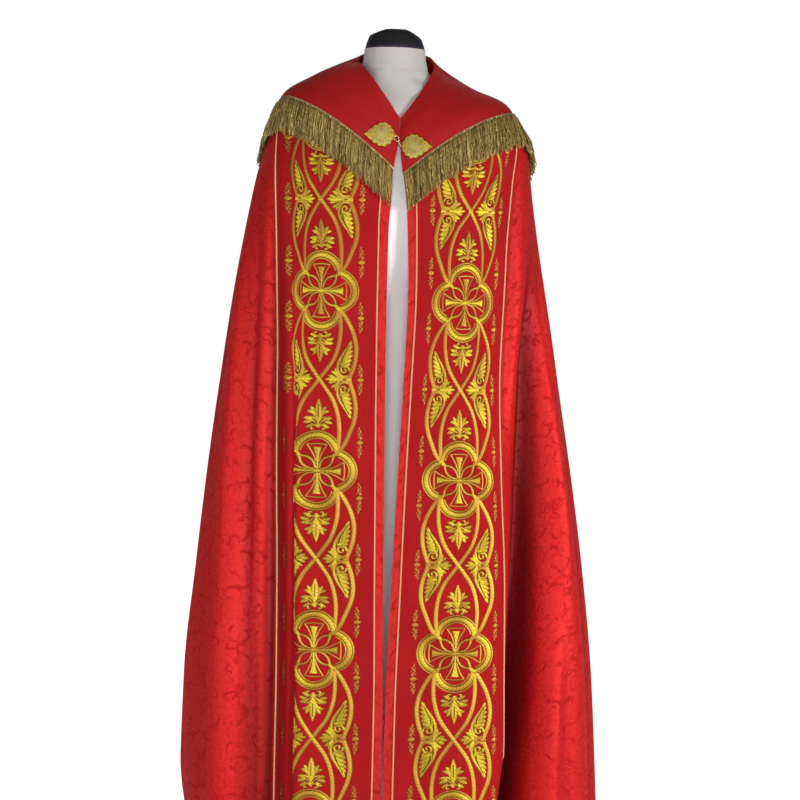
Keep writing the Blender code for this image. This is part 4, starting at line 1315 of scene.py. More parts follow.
embroidery = {
    "ribbonWidth": 0.0072,
    "ribbonHeight": 0.0013,
    "reachUp": 137,  # how far the ribbons go up and down from a crossing
    "reachDown": 143,
    "quatreHigh": 0.1726,  # from a crossing up to the quatrefoil's middle
    "palmetteOff": 83,  # from the quatrefoil's middle to each palmette
    "sprigsAt": (-52, 57),  # from the quatrefoil's middle, and one at the crossing
    "sprigOut": -78.5,  # from the band's middle to the line of sprigs
    "pitch": 0.352,
    "leftCrossing": 0.9510,  # heights of the second crossing from the top
    "rightCrossing": 0.9370,
    "repeats": 5,
    "endInset": 0.012,  # the work ends this far above the hem
    "highest": 1.500,
}


def crossingWork(work):
    # Ribbons, half leaves and side leaves round one crossing.
    wide, high = embroidery["ribbonWidth"], embroidery["ribbonHeight"]
    for way in (1, -1):
        reach = embroidery["reachUp"] if way > 0 else embroidery["reachDown"]
        inner = mm((0, 0), (-12.7, 17.6), (-24.4, 35), (-32, 52.7), (-37, 72), (-39.5, 92), (-39.5, 113),
                   (-37, reach), way=way)
        for sign in (1, -1):
            line = curve(inner * (sign, 1))
            over = sign * way > 0
            lift = (0.0012 if over else 0.0) * np.clip(1 - np.arange(len(line)) / 5, 0, 1)
            work.stroke(line, wide, high, 0.12 if over else 0.0, lift)
        outer = mm((-38, reach), (-49, reach - 15), (-59.5, 103), (-66, 86), (-70, 66), (-69.5, 45),
                   (-65.5, 25.4), (-60, 10), (-57, 0), way=way)
        work.stroke(curve(outer), wide * 1.05, high, 0.06, mirror=True)

        # Half acanthus: a full body, a smooth border that runs into the volute, lobes on the outer side.
        body = mm((-60, 74), (-57, 63), (-53.5, 53), (-50.5, 43), (-48.5, 33), (-47.5, 23), way=way)
        work.stroke(body, np.array([2, 8, 14, 19, 21, 15]) / 1000, 0.0009, 0.90, mirror=True)
        border = curve(mm((-59.5, 76), (-53, 63), (-45.5, 51), (-38.5, 39), (-34.5, 27), (-35.5, 16),
                          (-41, 8), (-49, 5), (-56, 7.5), way=way))
        width = 0.0050 * np.clip(np.linspace(0.15, 3.2, len(border)), 0, 1)
        work.stroke(border, width, 0.0014, 0.45, 0.0003, mirror=True)
        start = 190 if way > 0 else 170
        volute = spiral((-0.0475, 0.0185 * way), 0.0100, 0.0014, start, -450 * way, 20)
        work.stroke(volute, np.linspace(0.0044, 0.0034, len(volute)), 0.0013, 0.65, 0.0005, mirror=True)
        for root, tip, width, bend in (
            ((-56, 63), (-61.5, 75.5), 6.5, 0.05),
            ((-51, 55), (-63.0, 66.0), 9.0, 0.06),
            ((-48, 47), (-64.0, 56.5), 10.0, 0.08),
            ((-46, 39), (-63.5, 47.0), 10.5, 0.10),
            ((-45, 32), (-62.0, 37.5), 9.5, 0.12),
            ((-47, 26), (-59.5, 29.0), 7.0, 0.12),
        ):
            work.lobe(root, tip, width, bend, way=way)
        work.vein(mm((-57.5, 67), (-50.5, 54), (-44.5, 42), (-42.5, 31), way=way), 0.0013)

    # The leaf between the half leaves that points to the crossing.
    stalk = mm((-45, 0), (-38, 0), (-32, 0), (-26, 0), (-19, 0))
    work.stroke(stalk, np.array([7, 10, 15, 14, 6]) / 1000, 0.0009, 0.9, mirror=True)
    for way in (1, -1):
        stem = curve(mm((-58, 3.2), (-48, 2.4), (-40, 4.6), (-35, 9.5), way=way))
        work.stroke(stem, 0.0034, 0.0012, 0.3, mirror=True)
        work.lobe((-37, 2), (-30.0, 22), 11.5, -0.06, lift=0.0003, way=way)
        work.lobe((-33, 8), (-23.0, 15.5), 7.0, -0.10, way=way)
        work.lobe((-30, 2), (-17.5, 7.0), 6.5, -0.08, lift=0.0004, way=way)
    work.lobe((-42, 0), (-12.5, 0), 11.0, 0.0, lift=0.0005)
    work.stroke(mm((-62, 0), (-57, 0), (-52, 0)), 0.0095, 0.0018, 0.4, mirror=True)
    work.stroke(mm((-4.5, 0), (0, 0), (4.5, 0)), 0.0085, 0.0022, 0.7)


def palmette(work, middle, way):
    # An open leaf: a spine, seven pairs of lobes, veins and two curls. It points down when way is -1.
    def at(*pairs):
        return mm(*pairs, middle=middle, way=way)

    spine = at((0, 1), (0, 9), (0, 18), (0, 27), (0, 36), (0, 45), (0, 57))
    work.stroke(spine, np.array([5, 9, 12, 14, 14, 10, 1.5]) / 1000, 0.0015, 0.55, 0.0004)
    for root, tip, width, bend in (
        ((2, 14), (13.0, 36.0), 8.5, -0.12),
        ((8, 27), (20.5, 32.5), 7.5, -0.20),
        ((9, 32), (14.5, 42.5), 6.5, -0.10),
        ((2, 9), (19.0, 21.5), 9.0, -0.14),
        ((11, 14), (26.0, 19.5), 8.0, -0.16),
        ((12, 12), (26.5, 9.5), 7.5, -0.10),
        ((10, 9), (21.5, 1.5), 7.0, 0.12),
    ):
        work.lobe(root, tip, width, bend, tone=0.62, middle=middle, way=way)
    work.vein(at((1.5, 9), (5.5, 15), (10.5, 18.5)), 0.0018)
    work.vein(at((0, 47), (0, 36), (0, 22)), 0.0018)
    curl = curve(at((1.5, 3.5), (6.0, 6.5), (11.0, 5.0), (13.0, 0.5), (10.5, -2.5), (7.5, -0.5)), 0.003)
    work.stroke(curl, np.linspace(0.0042, 0.0034, len(curl)), 0.0014, 0.6, 0.0005, mirror=True)


def quatrefoil(work, middle):
    # Four ringed lobes that meet in knots, a cross with flared arms and four almond petals.
    def at(*pairs, way=1):
        return mm(*pairs, middle=middle, way=way)

    # The rings: how far out from the main one, width, height, tone, degrees short of where two meet.
    for out, width, high, tone, short in (
        (0.0, 0.0096, 0.0019, 0.62, 0),
        (7.0, 0.0024, 0.0011, 0.05, 0),
        (-7.2, 0.0024, 0.0011, 0.05, 9),
    ):
        radius = (36.0 + out) / 1000
        for centre, start, end in ((34.5, 0, 180), (-34.5, 180, 360)):
            ring = arc((0, (middle + centre) / 1000), radius, start + short, end - short)
            work.stroke(ring, width, high, tone)
        sideRing = arc((-0.0308, middle / 1000), (35.6 + out) / 1000, 99 + short, 261 - short)
        work.stroke(sideRing, width, high, tone, mirror=True)
    for way in (1, -1):
        knot = curve(at((-41, 37 * way), (-36.5, 36 * way), (-32, 32 * way), (-28, 27 * way)))
        work.stroke(knot, np.linspace(0.0125, 0.0050, len(knot)), 0.0023, 0.62, mirror=True)

    # The cross: upright arms, then level ones, each between fine lines.
    flare = np.array([3.6, 3.8, 4.4, 6.4, 10.0, 15.5]) / 1000
    for way in (1, -1):
        work.fineLine(curve(at((3.0, 18), (5.2, 27), (10.0, 38), (17.5, 50.5), way=way)))
        work.fineLine(curve(at((-18, 51), (0, 52.5), (18, 51), way=way)), mirror=False)
        arm = at((0, 2), (0, 12), (0, 22), (0, 30), (0, 38), (0, 46), way=way)
        work.stroke(arm, flare, 0.0014, 0.80)
    edge = curve(at((-17, 3.0), (-26, 5.2), (-36, 10.0), (-48.5, 17.5)))
    work.fineLine(edge)
    work.fineLine(edge * (1, -1) + (0, 2 * middle / 1000))
    work.fineLine(curve(at((-49, -18), (-50.5, 0), (-49, 18))))
    arm = at((-2, 0), (-12, 0), (-21, 0), (-29, 0), (-36, 0), (-44, 0))
    work.stroke(arm, flare, 0.0014, 0.80, mirror=True)

    for way in (1, -1):
        for petal in (
            ((-3, 5), (-5.5, 15), (-11.5, 23.5), (-20, 28), (-30, 29.5)),
            ((-5, 3), (-15, 5.5), (-23.5, 11.5), (-28, 20), (-30, 29.5)),
        ):
            work.stroke(curve(at(*petal, way=way)), 0.0040, 0.0014, 0.0, 0.0004, mirror=True)
    work.stroke(at((-5.5, 0), (0, 0), (5.5, 0)), np.array([0.0065, 0.0110, 0.0065]), 0.0024, 0.75)


def beadSprig(work, middle):
    # An oval bead with a small waving sprig above and below, in fainter thread beside the main design.
    x = embroidery["sprigOut"]
    sprig = ((0, 6.5), (-2.6, 9.4), (0.2, 12.2), (2.8, 15.2), (0.2, 18.4), (-2.6, 21.4), (0.2, 24.4),
             (2.0, 27.2), (0.4, 30.0))
    for way in (1, -1):
        stem = curve(mm(*[(x + a, b) for a, b in sprig], middle=middle, way=way), 0.0030)
        work.stroke(stem, np.linspace(0.0040, 0.0022, len(stem)), needle["lineHigh"], 2.0, mirror=True)
        for y, out in ((9.6, 3.4), (15.4, -3.2), (21.6, 3.2)):
            leaf = mm((x + out * 0.4, y), (x + out, y), (x + out * 1.5, y), middle=middle, way=way)
            work.stroke(leaf, np.array([0.0022, 0.0030, 0.0014]), needle["lineHigh"], 2.0, mirror=True)
    bead = mm((x - 6, 0), (x - 3.2, 0), (x, 0), (x + 3.2, 0), (x + 6, 0), middle=middle)
    work.stroke(bead, np.array([0.0014, 0.0075, 0.0112, 0.0075, 0.0014]), 0.0016, 1.6, mirror=True)


def repeatWork():
    # One repeat of the band, from a crossing up to just below the next one.
    work = FlatWork()
    middle = embroidery["quatreHigh"] * 1000
    crossingWork(work)
    quatrefoil(work, middle)
    for way in (-1, 1):
        palmette(work, middle + embroidery["palmetteOff"] * way, way)
    beadSprig(work, 0)
    for away in embroidery["sprigsAt"]:
        beadSprig(work, middle + away)
    return work.object("repeatFlat", goldStitch)


def buildEmbroidery(side, bed):
    first = embroidery[side + "Crossing"] - 3 * embroidery["pitch"]
    half = cloth["bandWidth"] / 2 - orphrey["inset"] - 0.0005
    return laidOn("embroidery" + side.capitalize(), repeatWork(), bed, goldStitch,
                  Repeats=embroidery["repeats"], First=(0, first, 0), Step=(0, embroidery["pitch"], 0),
                  Lowest=(-half, cloth["hemLevel"] + embroidery["endInset"], -1),
                  Highest=(half, embroidery["highest"], 1))


embroideryLeft = buildEmbroidery("left", bedLeft)
embroideryRight = buildEmbroidery("right", bedRight)
print("embroidery", len(embroideryLeft.data.polygons), len(embroideryRight.data.polygons))


# Piping: a twisted cord along each long edge of both bands.

piping = {
    "radius": 0.00165,
    "step": 0.005,
    "sides": 8,
    "endInset": 0.001,  # it ends this far above the hem
    "shade": 0.6,  # one tone for a whole cord, from 0 dark to 1 light
}


def cordObject(name, path, normals, radius, sides, surface, closed=False):
    # A round cord along a path, with closed ends or closed to a ring.
    path = np.asarray(path, dtype=float)
    ahead = np.gradient(path, axis=0)
    if closed:
        ahead = np.roll(path, -1, axis=0) - np.roll(path, 1, axis=0)
    ahead /= np.linalg.norm(ahead, axis=1, keepdims=True)
    normals = normals - ahead * np.sum(normals * ahead, axis=1, keepdims=True)
    normals /= np.linalg.norm(normals, axis=1, keepdims=True)
    side = np.cross(ahead, normals)
    turn = (2 * math.pi * np.arange(sides) / sides)[None, :, None]
    rings = path[:, None] + radius * (np.cos(turn) * normals[:, None] + np.sin(turn) * side[:, None])
    around = (np.arange(sides) / sides)[None, :]
    uv = np.stack(np.broadcast_arrays(pathLengths(path)[:, None], around), axis=2)
    faces = gridFaces(len(path), sides, closed=True).tolist()
    last = (len(path) - 1) * sides
    if closed:
        faces += [[last + k, last + (k + 1) % sides, (k + 1) % sides, k] for k in range(sides)]
    else:
        faces += [list(range(sides))[::-1], [last + k for k in range(sides)]]
    numbers = {"shade": np.full(len(path) * sides, piping["shade"])}
    return turnedOut(meshObject(name, rings.reshape(-1, 3), faces, (surface,), uv=uv.reshape(-1, 2),
                                numbers=numbers, sharp=70))


def buildPiping():
    levels = evenLevels(cloth["bandTopLevel"], cloth["hemLevel"] + piping["endInset"], piping["step"])
    made = []
    for side in ("left", "right"):
        for edge, distance in (("inner", cloth["edgeStrip"]), ("outer", cloth["bandReach"])):
            points, normals, rounds, hollows = clothGrid(levels, bandColumns(side, [distance]))
            path = (points + normals * pipingMiddle)[:, 0]
            name = "piping" + side.capitalize() + edge.capitalize()
            cord = cordObject(name, path, normals[:, 0], piping["radius"], piping["sides"], pipingThread)
            made.append((cord, "piping_" + side + "_" + edge))
    return made


pipings = buildPiping()
print("piping", len(pipings))


# The shoulder cape with its hood point.

cape = {
    "leftLevel": 1.362,  # its edge at the left and the right front
    "rightLevel": 1.351,
    "pointLevel": 1.085,  # and at the hood's point behind
    "yokeLevel": 1.367,
    "wall": 0.002,
    "levelShare": 0.215,  # share of the way round from a front edge before its edge falls
    "fallShare": 0.285,  # and the share over which it falls to the point
    "fallCurved": 0.55,  # share of the fall that is curved, and the share that is straight
    "fallStraight": 0.45,
    "fallPower": 1.6,
    "liftOver": 0.045,  # it comes off the neck over this height
    "bandSteps": 26,
    "wrapColumns": 250,
    "upperRows": 17,
    "lowerRows": 40,
    "groundStep": 0.002,
    "groundBelow": 0.12,  # how far the cloth under it is read below the point
}
capeAtNeck = wallTop + 2 * cloth["gap"]
capeBottom = pipingMiddle + cloth["pipingRadius"] + 3 * cloth["gap"]


def capeEdge(share):
    # The level of the edge at a share of the way round the cloth.
    fromFront = 0.5 - np.abs(share - 0.5)
    back = np.clip((fromFront - cape["levelShare"]) / cape["fallShare"], 0, 1)
    toRight = 1 - smoothstep(2 * share - 0.5)
    side = cape["rightLevel"] + (cape["leftLevel"] - cape["rightLevel"]) * toRight
    fall = cape["fallCurved"] * back ** cape["fallPower"] + cape["fallStraight"] * back
    return side - (side - cape["pointLevel"]) * fall


def capeLift(level):
    down = (cloth["neckLevel"] - level) / cape["liftOver"]
    return capeAtNeck + (capeBottom - capeAtNeck) * smoothstep(down)


def readDense(table, levels, wanted):
    # Reads every column of a dense table of levels at its own level. Levels fall down the table.
    place = (levels[0] - wanted) / (levels[0] - levels[1])
    i = np.clip(place.astype(int), 0, len(levels) - 2)
    t = (place - i)[..., None]
    column = np.arange(table.shape[1])[None, :]
    return table[i, column] * (1 - t) + table[i + 1, column] * t


def capeGround():
    # The unfolded cloth under the cape, and the level of the cape's edge at each of its columns.
    steps = np.linspace(0.0, cloth["bandReach"], cape["bandSteps"])
    columns = bandColumns("left", steps)[:-1] + wrapColumns(0.0, 1.0, cape["wrapColumns"])
    columns = np.array(columns + bandColumns("right", steps[::-1])[1:])
    levels = evenLevels(cloth["neckLevel"], cape["pointLevel"] - cape["groundBelow"], cape["groundStep"])
    points, normals, rounds, hollows = clothGrid(levels, columns, False)
    rings = [ringAt(level, False) for level in levels]
    shares = np.array([distancesIn(columns, ring) / ring["length"] for ring in rings])
    edge = np.full(len(columns), cape["rightLevel"])
    for _ in range(12):
        share = readDense(shares[..., None], levels, edge[None, :])[0, :, 0]
        edge = 0.5 * edge + 0.5 * capeEdge(share)
    return levels, points, normals, edge, rounds


def buildCape(levels, points, normals, edge, rounds):
    upper = np.linspace(cloth["neckLevel"], cape["yokeLevel"], cape["upperRows"])
    upper = upper[:, None] * np.ones(len(edge))
    fall = np.linspace(0, 1, cape["lowerRows"])[1:, None]
    lower = cape["yokeLevel"] + (edge[None, :] - cape["yokeLevel"]) * fall
    rows = np.vstack([upper, lower])
    middle, out = readDense(points, levels, rows), readDense(normals, levels, rows)
    around = readDense(rounds[..., None], levels, rows)[..., 0]
    lift = capeLift(rows)[..., None]
    outer, inner = middle + out * (lift + cape["wall"]), middle + out * lift
    uv = clothUv(outer, around, len(edge) // 2)
    made = shellObject("shoulderCape", outer, inner, uv, capeCloth, liningCloth)
    # The lapels carry the clasp, which is laid on them as it is seen from the front.
    lapels = {}
    for side, part in (("left", slice(0, cape["bandSteps"])), ("right", slice(-cape["bandSteps"], None))):
        flat = outer[:, part][..., [0, 2]]
        lapels[side] = bedObject("lapel" + side.capitalize(), outer[:, part], out[:, part], flat)
    return made, lapels


ground = capeGround()
shoulderCape, lapelBeds = buildCape(*ground)
print("shoulder cape", len(shoulderCape.data.polygons))


# The fringe, and the woven strip that carries its strands.

fringe = {
    "strands": 2150,
    "length": 0.0785,
    "shortest": 0.90,  # share of the length
    "radius": 0.00096,
    "rings": 9,
    "sides": 4,
    "twist": 7.0,  # radians over the length
    "tilt": 0.070,
    "sway": 0.24,
    "scatter": (0.0016, 0.0008, 0.0022),
    "inset": 0.003,  # the first strand lies this far in, down and out
    "seed": 11,
    "bedDrop": 0.100,  # the surface that it lies on, below the cape's edge
    "bedRows": 26,
    "bedLowest": -0.096,
    "standoff": 0.0012,  # off the cape's underside, and as much again lower down
    "easeOver": 0.045,
    "headerStep": 0.004,
    # Down from the cape's edge and out.
    "headerProfile": ((-0.0004, 0.0), (-0.0004, 0.0016), (-0.0022, 0.0036), (-0.0044, 0.0036),
                      (-0.0062, 0.0022), (-0.0062, 0.0)),
}


def buildFringeBed(levels, points, normals, edge):
    drops = np.linspace(0, fringe["bedDrop"], fringe["bedRows"])[:, None]
    below = edge[None, :] - drops
    under, away = readDense(points, levels, below), readDense(normals, levels, below)
    eased = smoothstep(drops / fringe["easeOver"])[..., None]
    hang = under + away * (capeBottom + fringe["standoff"] + fringe["standoff"] * eased)
    along = pathLengths(hang[0])
    steps = np.linalg.norm(np.diff(hang, axis=0), axis=2)
    down = np.vstack([np.zeros((1, len(edge))), np.cumsum(steps, axis=0)])
    flat = np.stack([np.broadcast_to(-along, down.shape), -down], axis=2)
    return bedObject("fringeBed", hang, away, flat), along[-1]


def strandObject():
    # One loop of twisted thread, hanging from the origin along -Y.
    count, sides = fringe["rings"], fringe["sides"]
    points, uv = [], []
    for i in range(count):
        t = i / (count - 1)
        wide = fringe["radius"] * (0.75 + 0.35 * math.sin(math.pi * min(1, t * 1.15)))
        for k in range(sides):
            turn = 2 * math.pi * k / sides + t * fringe["twist"]
            points.append((wide * math.cos(turn), -fringe["length"] * t, wide * 0.8 * math.sin(turn)))
            uv.append((fringe["length"] * i / (count - 1), k / sides))
    return tubeObject("strandFlat", points, sides, fringeThread, uv)


def buildFringe():
    inset = fringe["inset"]
    pitch = (edgeLength - 2 * inset) / (fringe["strands"] - 1)
    return laidOn("fringeStrands", strandObject(), fringeBed, fringeThread, Repeats=fringe["strands"],
                  First=(-inset, -inset, inset), Step=(-pitch, 0, 0), Scatter=fringe["scatter"],
                  Tilt=fringe["tilt"], Spin=6.28, Shortest=fringe["shortest"], Sway=fringe["sway"],
                  Seed=fringe["seed"], Lowest=(-edgeLength + 0.0002, fringe["bedLowest"], -1),
                  Highest=(-0.0002, -0.0001, 1))


def buildHeader():
    sides = len(fringe["headerProfile"])
    points, uv = [], []
    for place in np.linspace(0.0003, edgeLength - 0.0003, int(edgeLength / fringe["headerStep"])):
        for index, (down, rise) in enumerate(fringe["headerProfile"]):
            points.append((-place, down, rise))
            uv.append((place, index / sides))
    flat = tubeObject("headerFlat", points, sides, headerThread, uv)
    return laidOn("fringeHeader", flat, fringeBed, headerThread,
                  Lowest=(-edgeLength + 0.0002, fringe["bedLowest"], -1), Highest=(-0.0002, 0.0, 1))


fringeBed, edgeLength = buildFringeBed(*ground[:4])
fringeStrands = buildFringe()
fringeHeader = buildHeader()
print("fringe", len(fringeStrands.data.polygons), "along", round(edgeLength, 3))


# The clasp: two leaves of gold lace, an eye and a hook.

clasp = {
    "length": 0.062,
    "width": 0.049,
    "thickness": 0.0022,
    "standoff": 0.0009,
    "wire": 0.0009,
    "wireSides": 12,
    "eyeLong": 0.0062,
    "eyeWide": 0.0040,
    "eyePoints": 40,
    "left": (0.0360, 1.394),  # each leaf's middle: round from the front edge, and its level
    "right": (0.0290, 1.376),
    "laidWithin": 0.05,
    "plateShare": 0.985,
    # The plate's rings, as shares of its rim and of the thickness.
    "plate": ((1.0, 0.0), (1.0, 0.6), (0.93, 1.0), (0.6, 1.05), (0.25, 1.1)),
    # Half of a leaf's lobed rim, from its tip to its other end: along, across
    "rim": ((1.00, 0.00), (0.78, 0.16), (0.68, 0.36), (0.46, 0.44), (0.38, 0.68), (0.14, 0.72),
            (0.02, 0.94), (-0.18, 0.90), (-0.36, 1.00), (-0.52, 0.80), (-0.72, 0.72), (-0.76, 0.48),
            (-0.93, 0.32), (-0.90, 0.12), (-1.00, 0.00)),
    # Scrolls: along, across, radius in millimetres, degrees that it starts at
    "scrolls": ((0.42, 0.22, 5.2, 20), (0.08, 0.42, 7.0, 60), (-0.38, 0.52, 7.6, 100),
                (-0.62, 0.20, 5.0, 150)),
}


def lapelPoint(side, distance, level, lift=0.0):
    # A point over a lapel's outside, some distance round from the front edge.
    points, normals, rounds, hollows = clothGrid([level], bandColumns(side, [distance]), False)
    return points[0, 0] + normals[0, 0] * (capeLift(level) + cape["wall"] + lift)


def lapelSpot(side, x, z, lift):
    # A point over a lapel, found from where it is seen from the front.
    distance, level = clasp[side]
    step = 0.003
    for _ in range(4):
        here = lapelPoint(side, distance, level, lift)
        perDistance = (lapelPoint(side, distance + step, level, lift) - here) / step
        perLevel = (lapelPoint(side, distance, level + step, lift) - here) / step
        slopes = np.stack([perDistance[[0, 2]], perLevel[[0, 2]]], axis=1)
        move = np.linalg.solve(slopes, (x - here[0], z - here[2]))
        distance, level = distance + move[0], level + move[1]
    return lapelPoint(side, distance, level, lift)


def leafRim(size):
    half = np.array(clasp["rim"])
    whole = np.vstack([half, (half * (1, -1))[-2:0:-1]])
    rim = []
    for (ax, ay), (bx, by) in zip(whole, np.roll(whole, -1, axis=0)):
        for t in (0.0, 0.33, 0.67):
            # Each stretch bows out a little, which makes the rim scalloped.
            x, y = ax + (bx - ax) * t, ay + (by - ay) * t
            bow = 0.10 * math.sin(math.pi * t) * 0.35 / max(math.hypot(x, y), 0.3)
            rim.append((x * (1 + bow), y * (1 + bow)))
    return np.array(rim) * np.abs(size) * clasp["plateShare"] * (np.sign(size[0]), 1)


def leafPlate(rim):
    base, thick = clasp["standoff"], clasp["thickness"]
    points = [np.column_stack([rim * share, np.full(len(rim), base + thick * rise)])
              for share, rise in clasp["plate"]]
    points = np.vstack(points + [[[0, 0, base + thick * clasp["plate"][-1][1]], [0, 0, base]]])
    count, last = len(rim), (len(clasp["plate"]) - 1) * len(rim)
    top, bottom = len(points) - 2, len(points) - 1
    faces = gridFaces(len(clasp["plate"]), count, closed=True).tolist()
    faces += [[last + k, last + (k + 1) % count, top] for k in range(count)]
    faces += [[(k + 1) % count, k, bottom] for k in range(count)]
    return turnedOut(meshObject("leafPlate", points, faces, (laceGold,), uv=points[:, :2], sharp=40))


def leafLace(rim, size):
    # Corded rims, scrolls with a bead in each, a midrib and veins.
    lace = FlatWork()
    lift = clasp["standoff"] + clasp["thickness"]
    for share, width, height, tone in ((0.94, 0.0022, 0.0009, 0.6), (0.80, 0.0013, 0.0007, 0.3)):
        lace.stroke(np.vstack([rim, rim[:1]]) * share, width, height, tone, lift - 0.0002)
    outwards = np.sign(size[0])
    for sign in (1, -1):
        for x, y, radius, start in clasp["scrolls"]:
            middle = (x * size[0], y * size[1] * sign)
            line = spiral(middle, radius / 1000, 0.0008, start * sign, 520 * sign * outwards, 22)
            lace.stroke(line, 0.0013, 0.0009, 0.5, lift)
            bead = [(middle[0] - 0.0012, middle[1]), middle, (middle[0] + 0.0012, middle[1])]
            lace.stroke(bead, 0.0024, 0.0014, 0.9, lift)
    midrib = np.array([(-0.82, 0), (-0.4, 0), (0.1, 0), (0.5, 0), (0.86, 0)])
    lace.stroke(midrib * size, 0.0018, 0.0012, 0.5, lift)
    for t in np.linspace(-0.8, 0.8, 9):
        for sign in (1, -1):
            reach = 0.30 * (1 - abs(t))
            vein = np.array([(t, 0), (t - 0.10, reach * 0.6 * sign), (t - 0.24, reach * 1.4 * sign)])
            lace.stroke(vein * size, 0.0010, 0.0007, 0.4, lift)
    return lace.object("leafLace", goldStitch)


def joined(name, pieces):
    work = bmesh.new()
    surfaces = []
    for piece in pieces:
        start = len(work.faces)
        work.from_mesh(piece.data)
        work.faces.ensure_lookup_table()
        for face in work.faces[start:]:
            face.material_index = len(surfaces)
        surfaces.append(piece.data.materials[0])
    mesh = bpy.data.meshes.new(name)
    work.to_mesh(mesh)
    work.free()
    for surface in surfaces:
        mesh.materials.append(surface)
    for piece in pieces:
        bpy.data.objects.remove(piece)
    return linked(name, mesh)


def buildClasp():
    made, ends, within = [], [], clasp["laidWithin"]
    rise = clasp["standoff"] + clasp["thickness"] / 2
    for side, outwards in (("left", -1), ("right", 1)):
        size = (clasp["length"] / 2 * outwards, clasp["width"] / 2)
        rim = leafRim(size)
        x, y, z = lapelPoint(side, *clasp[side])
        parts = []
        for flat, surface in ((leafPlate(rim), laceGold), (leafLace(rim, size), laceThread)):
            parts.append(laidOn("leafPart", flat, lapelBeds[side], surface, First=(x, z, 0),
                                Lowest=(x - within, z - within, -1), Highest=(x + within, z + within, 1)))
        made.append(joined("claspLeaf" + side.capitalize(), parts))
        ends.append(Vector(lapelSpot(side, x - size[0], z, rise)))
    return made, ends


def buildHook(ends):
    # The eye's loop stands at the left leaf, and the hook bends over its end and back under it.
    along = (ends[1] - ends[0]).normalized()
    out = Vector((0, -1, 0))
    out = (out - along * out.dot(along)).normalized()
    side = along.cross(out)
    wire, long, wide = clasp["wire"], clasp["eyeLong"], clasp["eyeWide"]
    eye = ends[0] + along * (long + wire + 1.8 * cloth["gap"])
    turns = [2 * math.pi * k / clasp["eyePoints"] for k in range(clasp["eyePoints"])]
    loop = [eye + along * (math.cos(t) * long) + side * (math.sin(t) * wide) for t in turns]
    loopOut = np.tile(np.array(out), (len(loop), 1))
    eyeWire = cordObject("claspEye", loop, loopOut, wire, clasp["wireSides"], claspMetal, closed=True)
    reach = eye + along * long
    bend = ((0.0036, 0.0010), (0.0016, 0.0023), (0.0, 0.0025), (-.0022, 0.0016), (-.0028, 0.0),
            (-.0022, -.0016), (0.0, -.0025), (0.0014, -.0025))
    spots = [ends[1] - along * (1.6 * cloth["gap"])] + [reach + along * a + out * n for a, n in bend]
    flat = curve([((spot - eye).dot(along), (spot - eye).dot(out)) for spot in spots], 0.0004)
    path = [eye + along * a + out * n for a, n in flat]
    hookOut = np.tile(np.array(side), (len(path), 1))
    return eyeWire, cordObject("claspHook", path, hookOut, wire, clasp["wireSides"], claspMetal)


claspLeaves, leafEnds = buildClasp()
claspEye, claspHook = buildHook(leafEnds)
print("clasp ready")


# The dress form.

form = {
    # height, half width, front, back
    "rows": (
        (1.6120, 0.0620, 0.0600, 0.0600),
        (1.5900, 0.0635, 0.0610, 0.0610),
        (1.5700, 0.0690, 0.0640, 0.0630),
        (1.5500, 0.0830, 0.0680, 0.0680),
        (1.5380, 0.1060, 0.0710, 0.0725),
        (1.5220, 0.1360, 0.0760, 0.0790),
        (1.5030, 0.1660, 0.0820, 0.0870),
        (1.4780, 0.1880, 0.0890, 0.0950),
        (1.4400, 0.2000, 0.1000, 0.1050),
        (1.3900, 0.2050, 0.1110, 0.1140),
        (1.3100, 0.1990, 0.1210, 0.1190),
        (1.2000, 0.1810, 0.1240, 0.1100),
        (1.0800, 0.1580, 0.1100, 0.0980),
        (0.9600, 0.1660, 0.1120, 0.1080),
        (0.8400, 0.1780, 0.1200, 0.1240),
        (0.6500, 0.1700, 0.1190, 0.1220),
        (0.4000, 0.1600, 0.1180, 0.1200),
        (0.1000, 0.1500, 0.1160, 0.1180),
    ),
    "sides": 96,
    "top": 1.612,
    "bottom": 0.1,
    "fineDownTo": 1.44,  # closer rings above this
    "neckSeam": 1.572,
    "neckSeamDeep": 0.0007,
    "neckSeamWide": 0.0022,
    "sideSeamDeep": 0.0008,
    "sideSeamWide": 0.004,
    "wrinkles": 9,  # soft ones round the neck and shoulders
    "wrinkleDeep": 0.0016,
    "wrinklesFrom": (1.40, 0.05),  # where they begin, and over how much height
    "wrinklesTo": (1.560, 0.012),
    "capHeight": 0.038,
    "capGathers": 17,
    "capGatherDeep": 0.014,
    # The cap's rings: radius, share of its height
    "capRings": ((0.026, 1.02), (0.038, 1.0), (0.0465, 0.96), (0.0525, 0.86), (0.0550, 0.62),
                 (0.0580, 0.34), (0.0602, 0.08), (0.0598, 0.0)),
    "poleRadius": 0.030,
    # The base's rings: radius, height
    "baseRings": ((0.186, 0.018), (0.193, 0.0165), (0.198, 0.0135), (0.200, 0.009), (0.200, 0.0)),
}


def ringsObject(name, rings, surface, sharp):
    # A closed solid through rings of equal count that run clockwise from above, top first.
    count = len(rings[0])
    middles = [[np.mean(rings[0], axis=0)], [np.mean(rings[-1], axis=0)]]
    points = np.vstack([np.asarray(ring, dtype=float) for ring in rings] + middles)
    faces = gridFaces(len(rings), count, closed=True).tolist()
    top, bottom = len(points) - 2, len(points) - 1
    last = (len(rings) - 1) * count
    faces += [[(k + 1) % count, k, top] for k in range(count)]
    faces += [[last + k, last + (k + 1) % count, bottom] for k in range(count)]
    return turnedOut(meshObject(name, points, faces, (surface,), sharp=sharp))


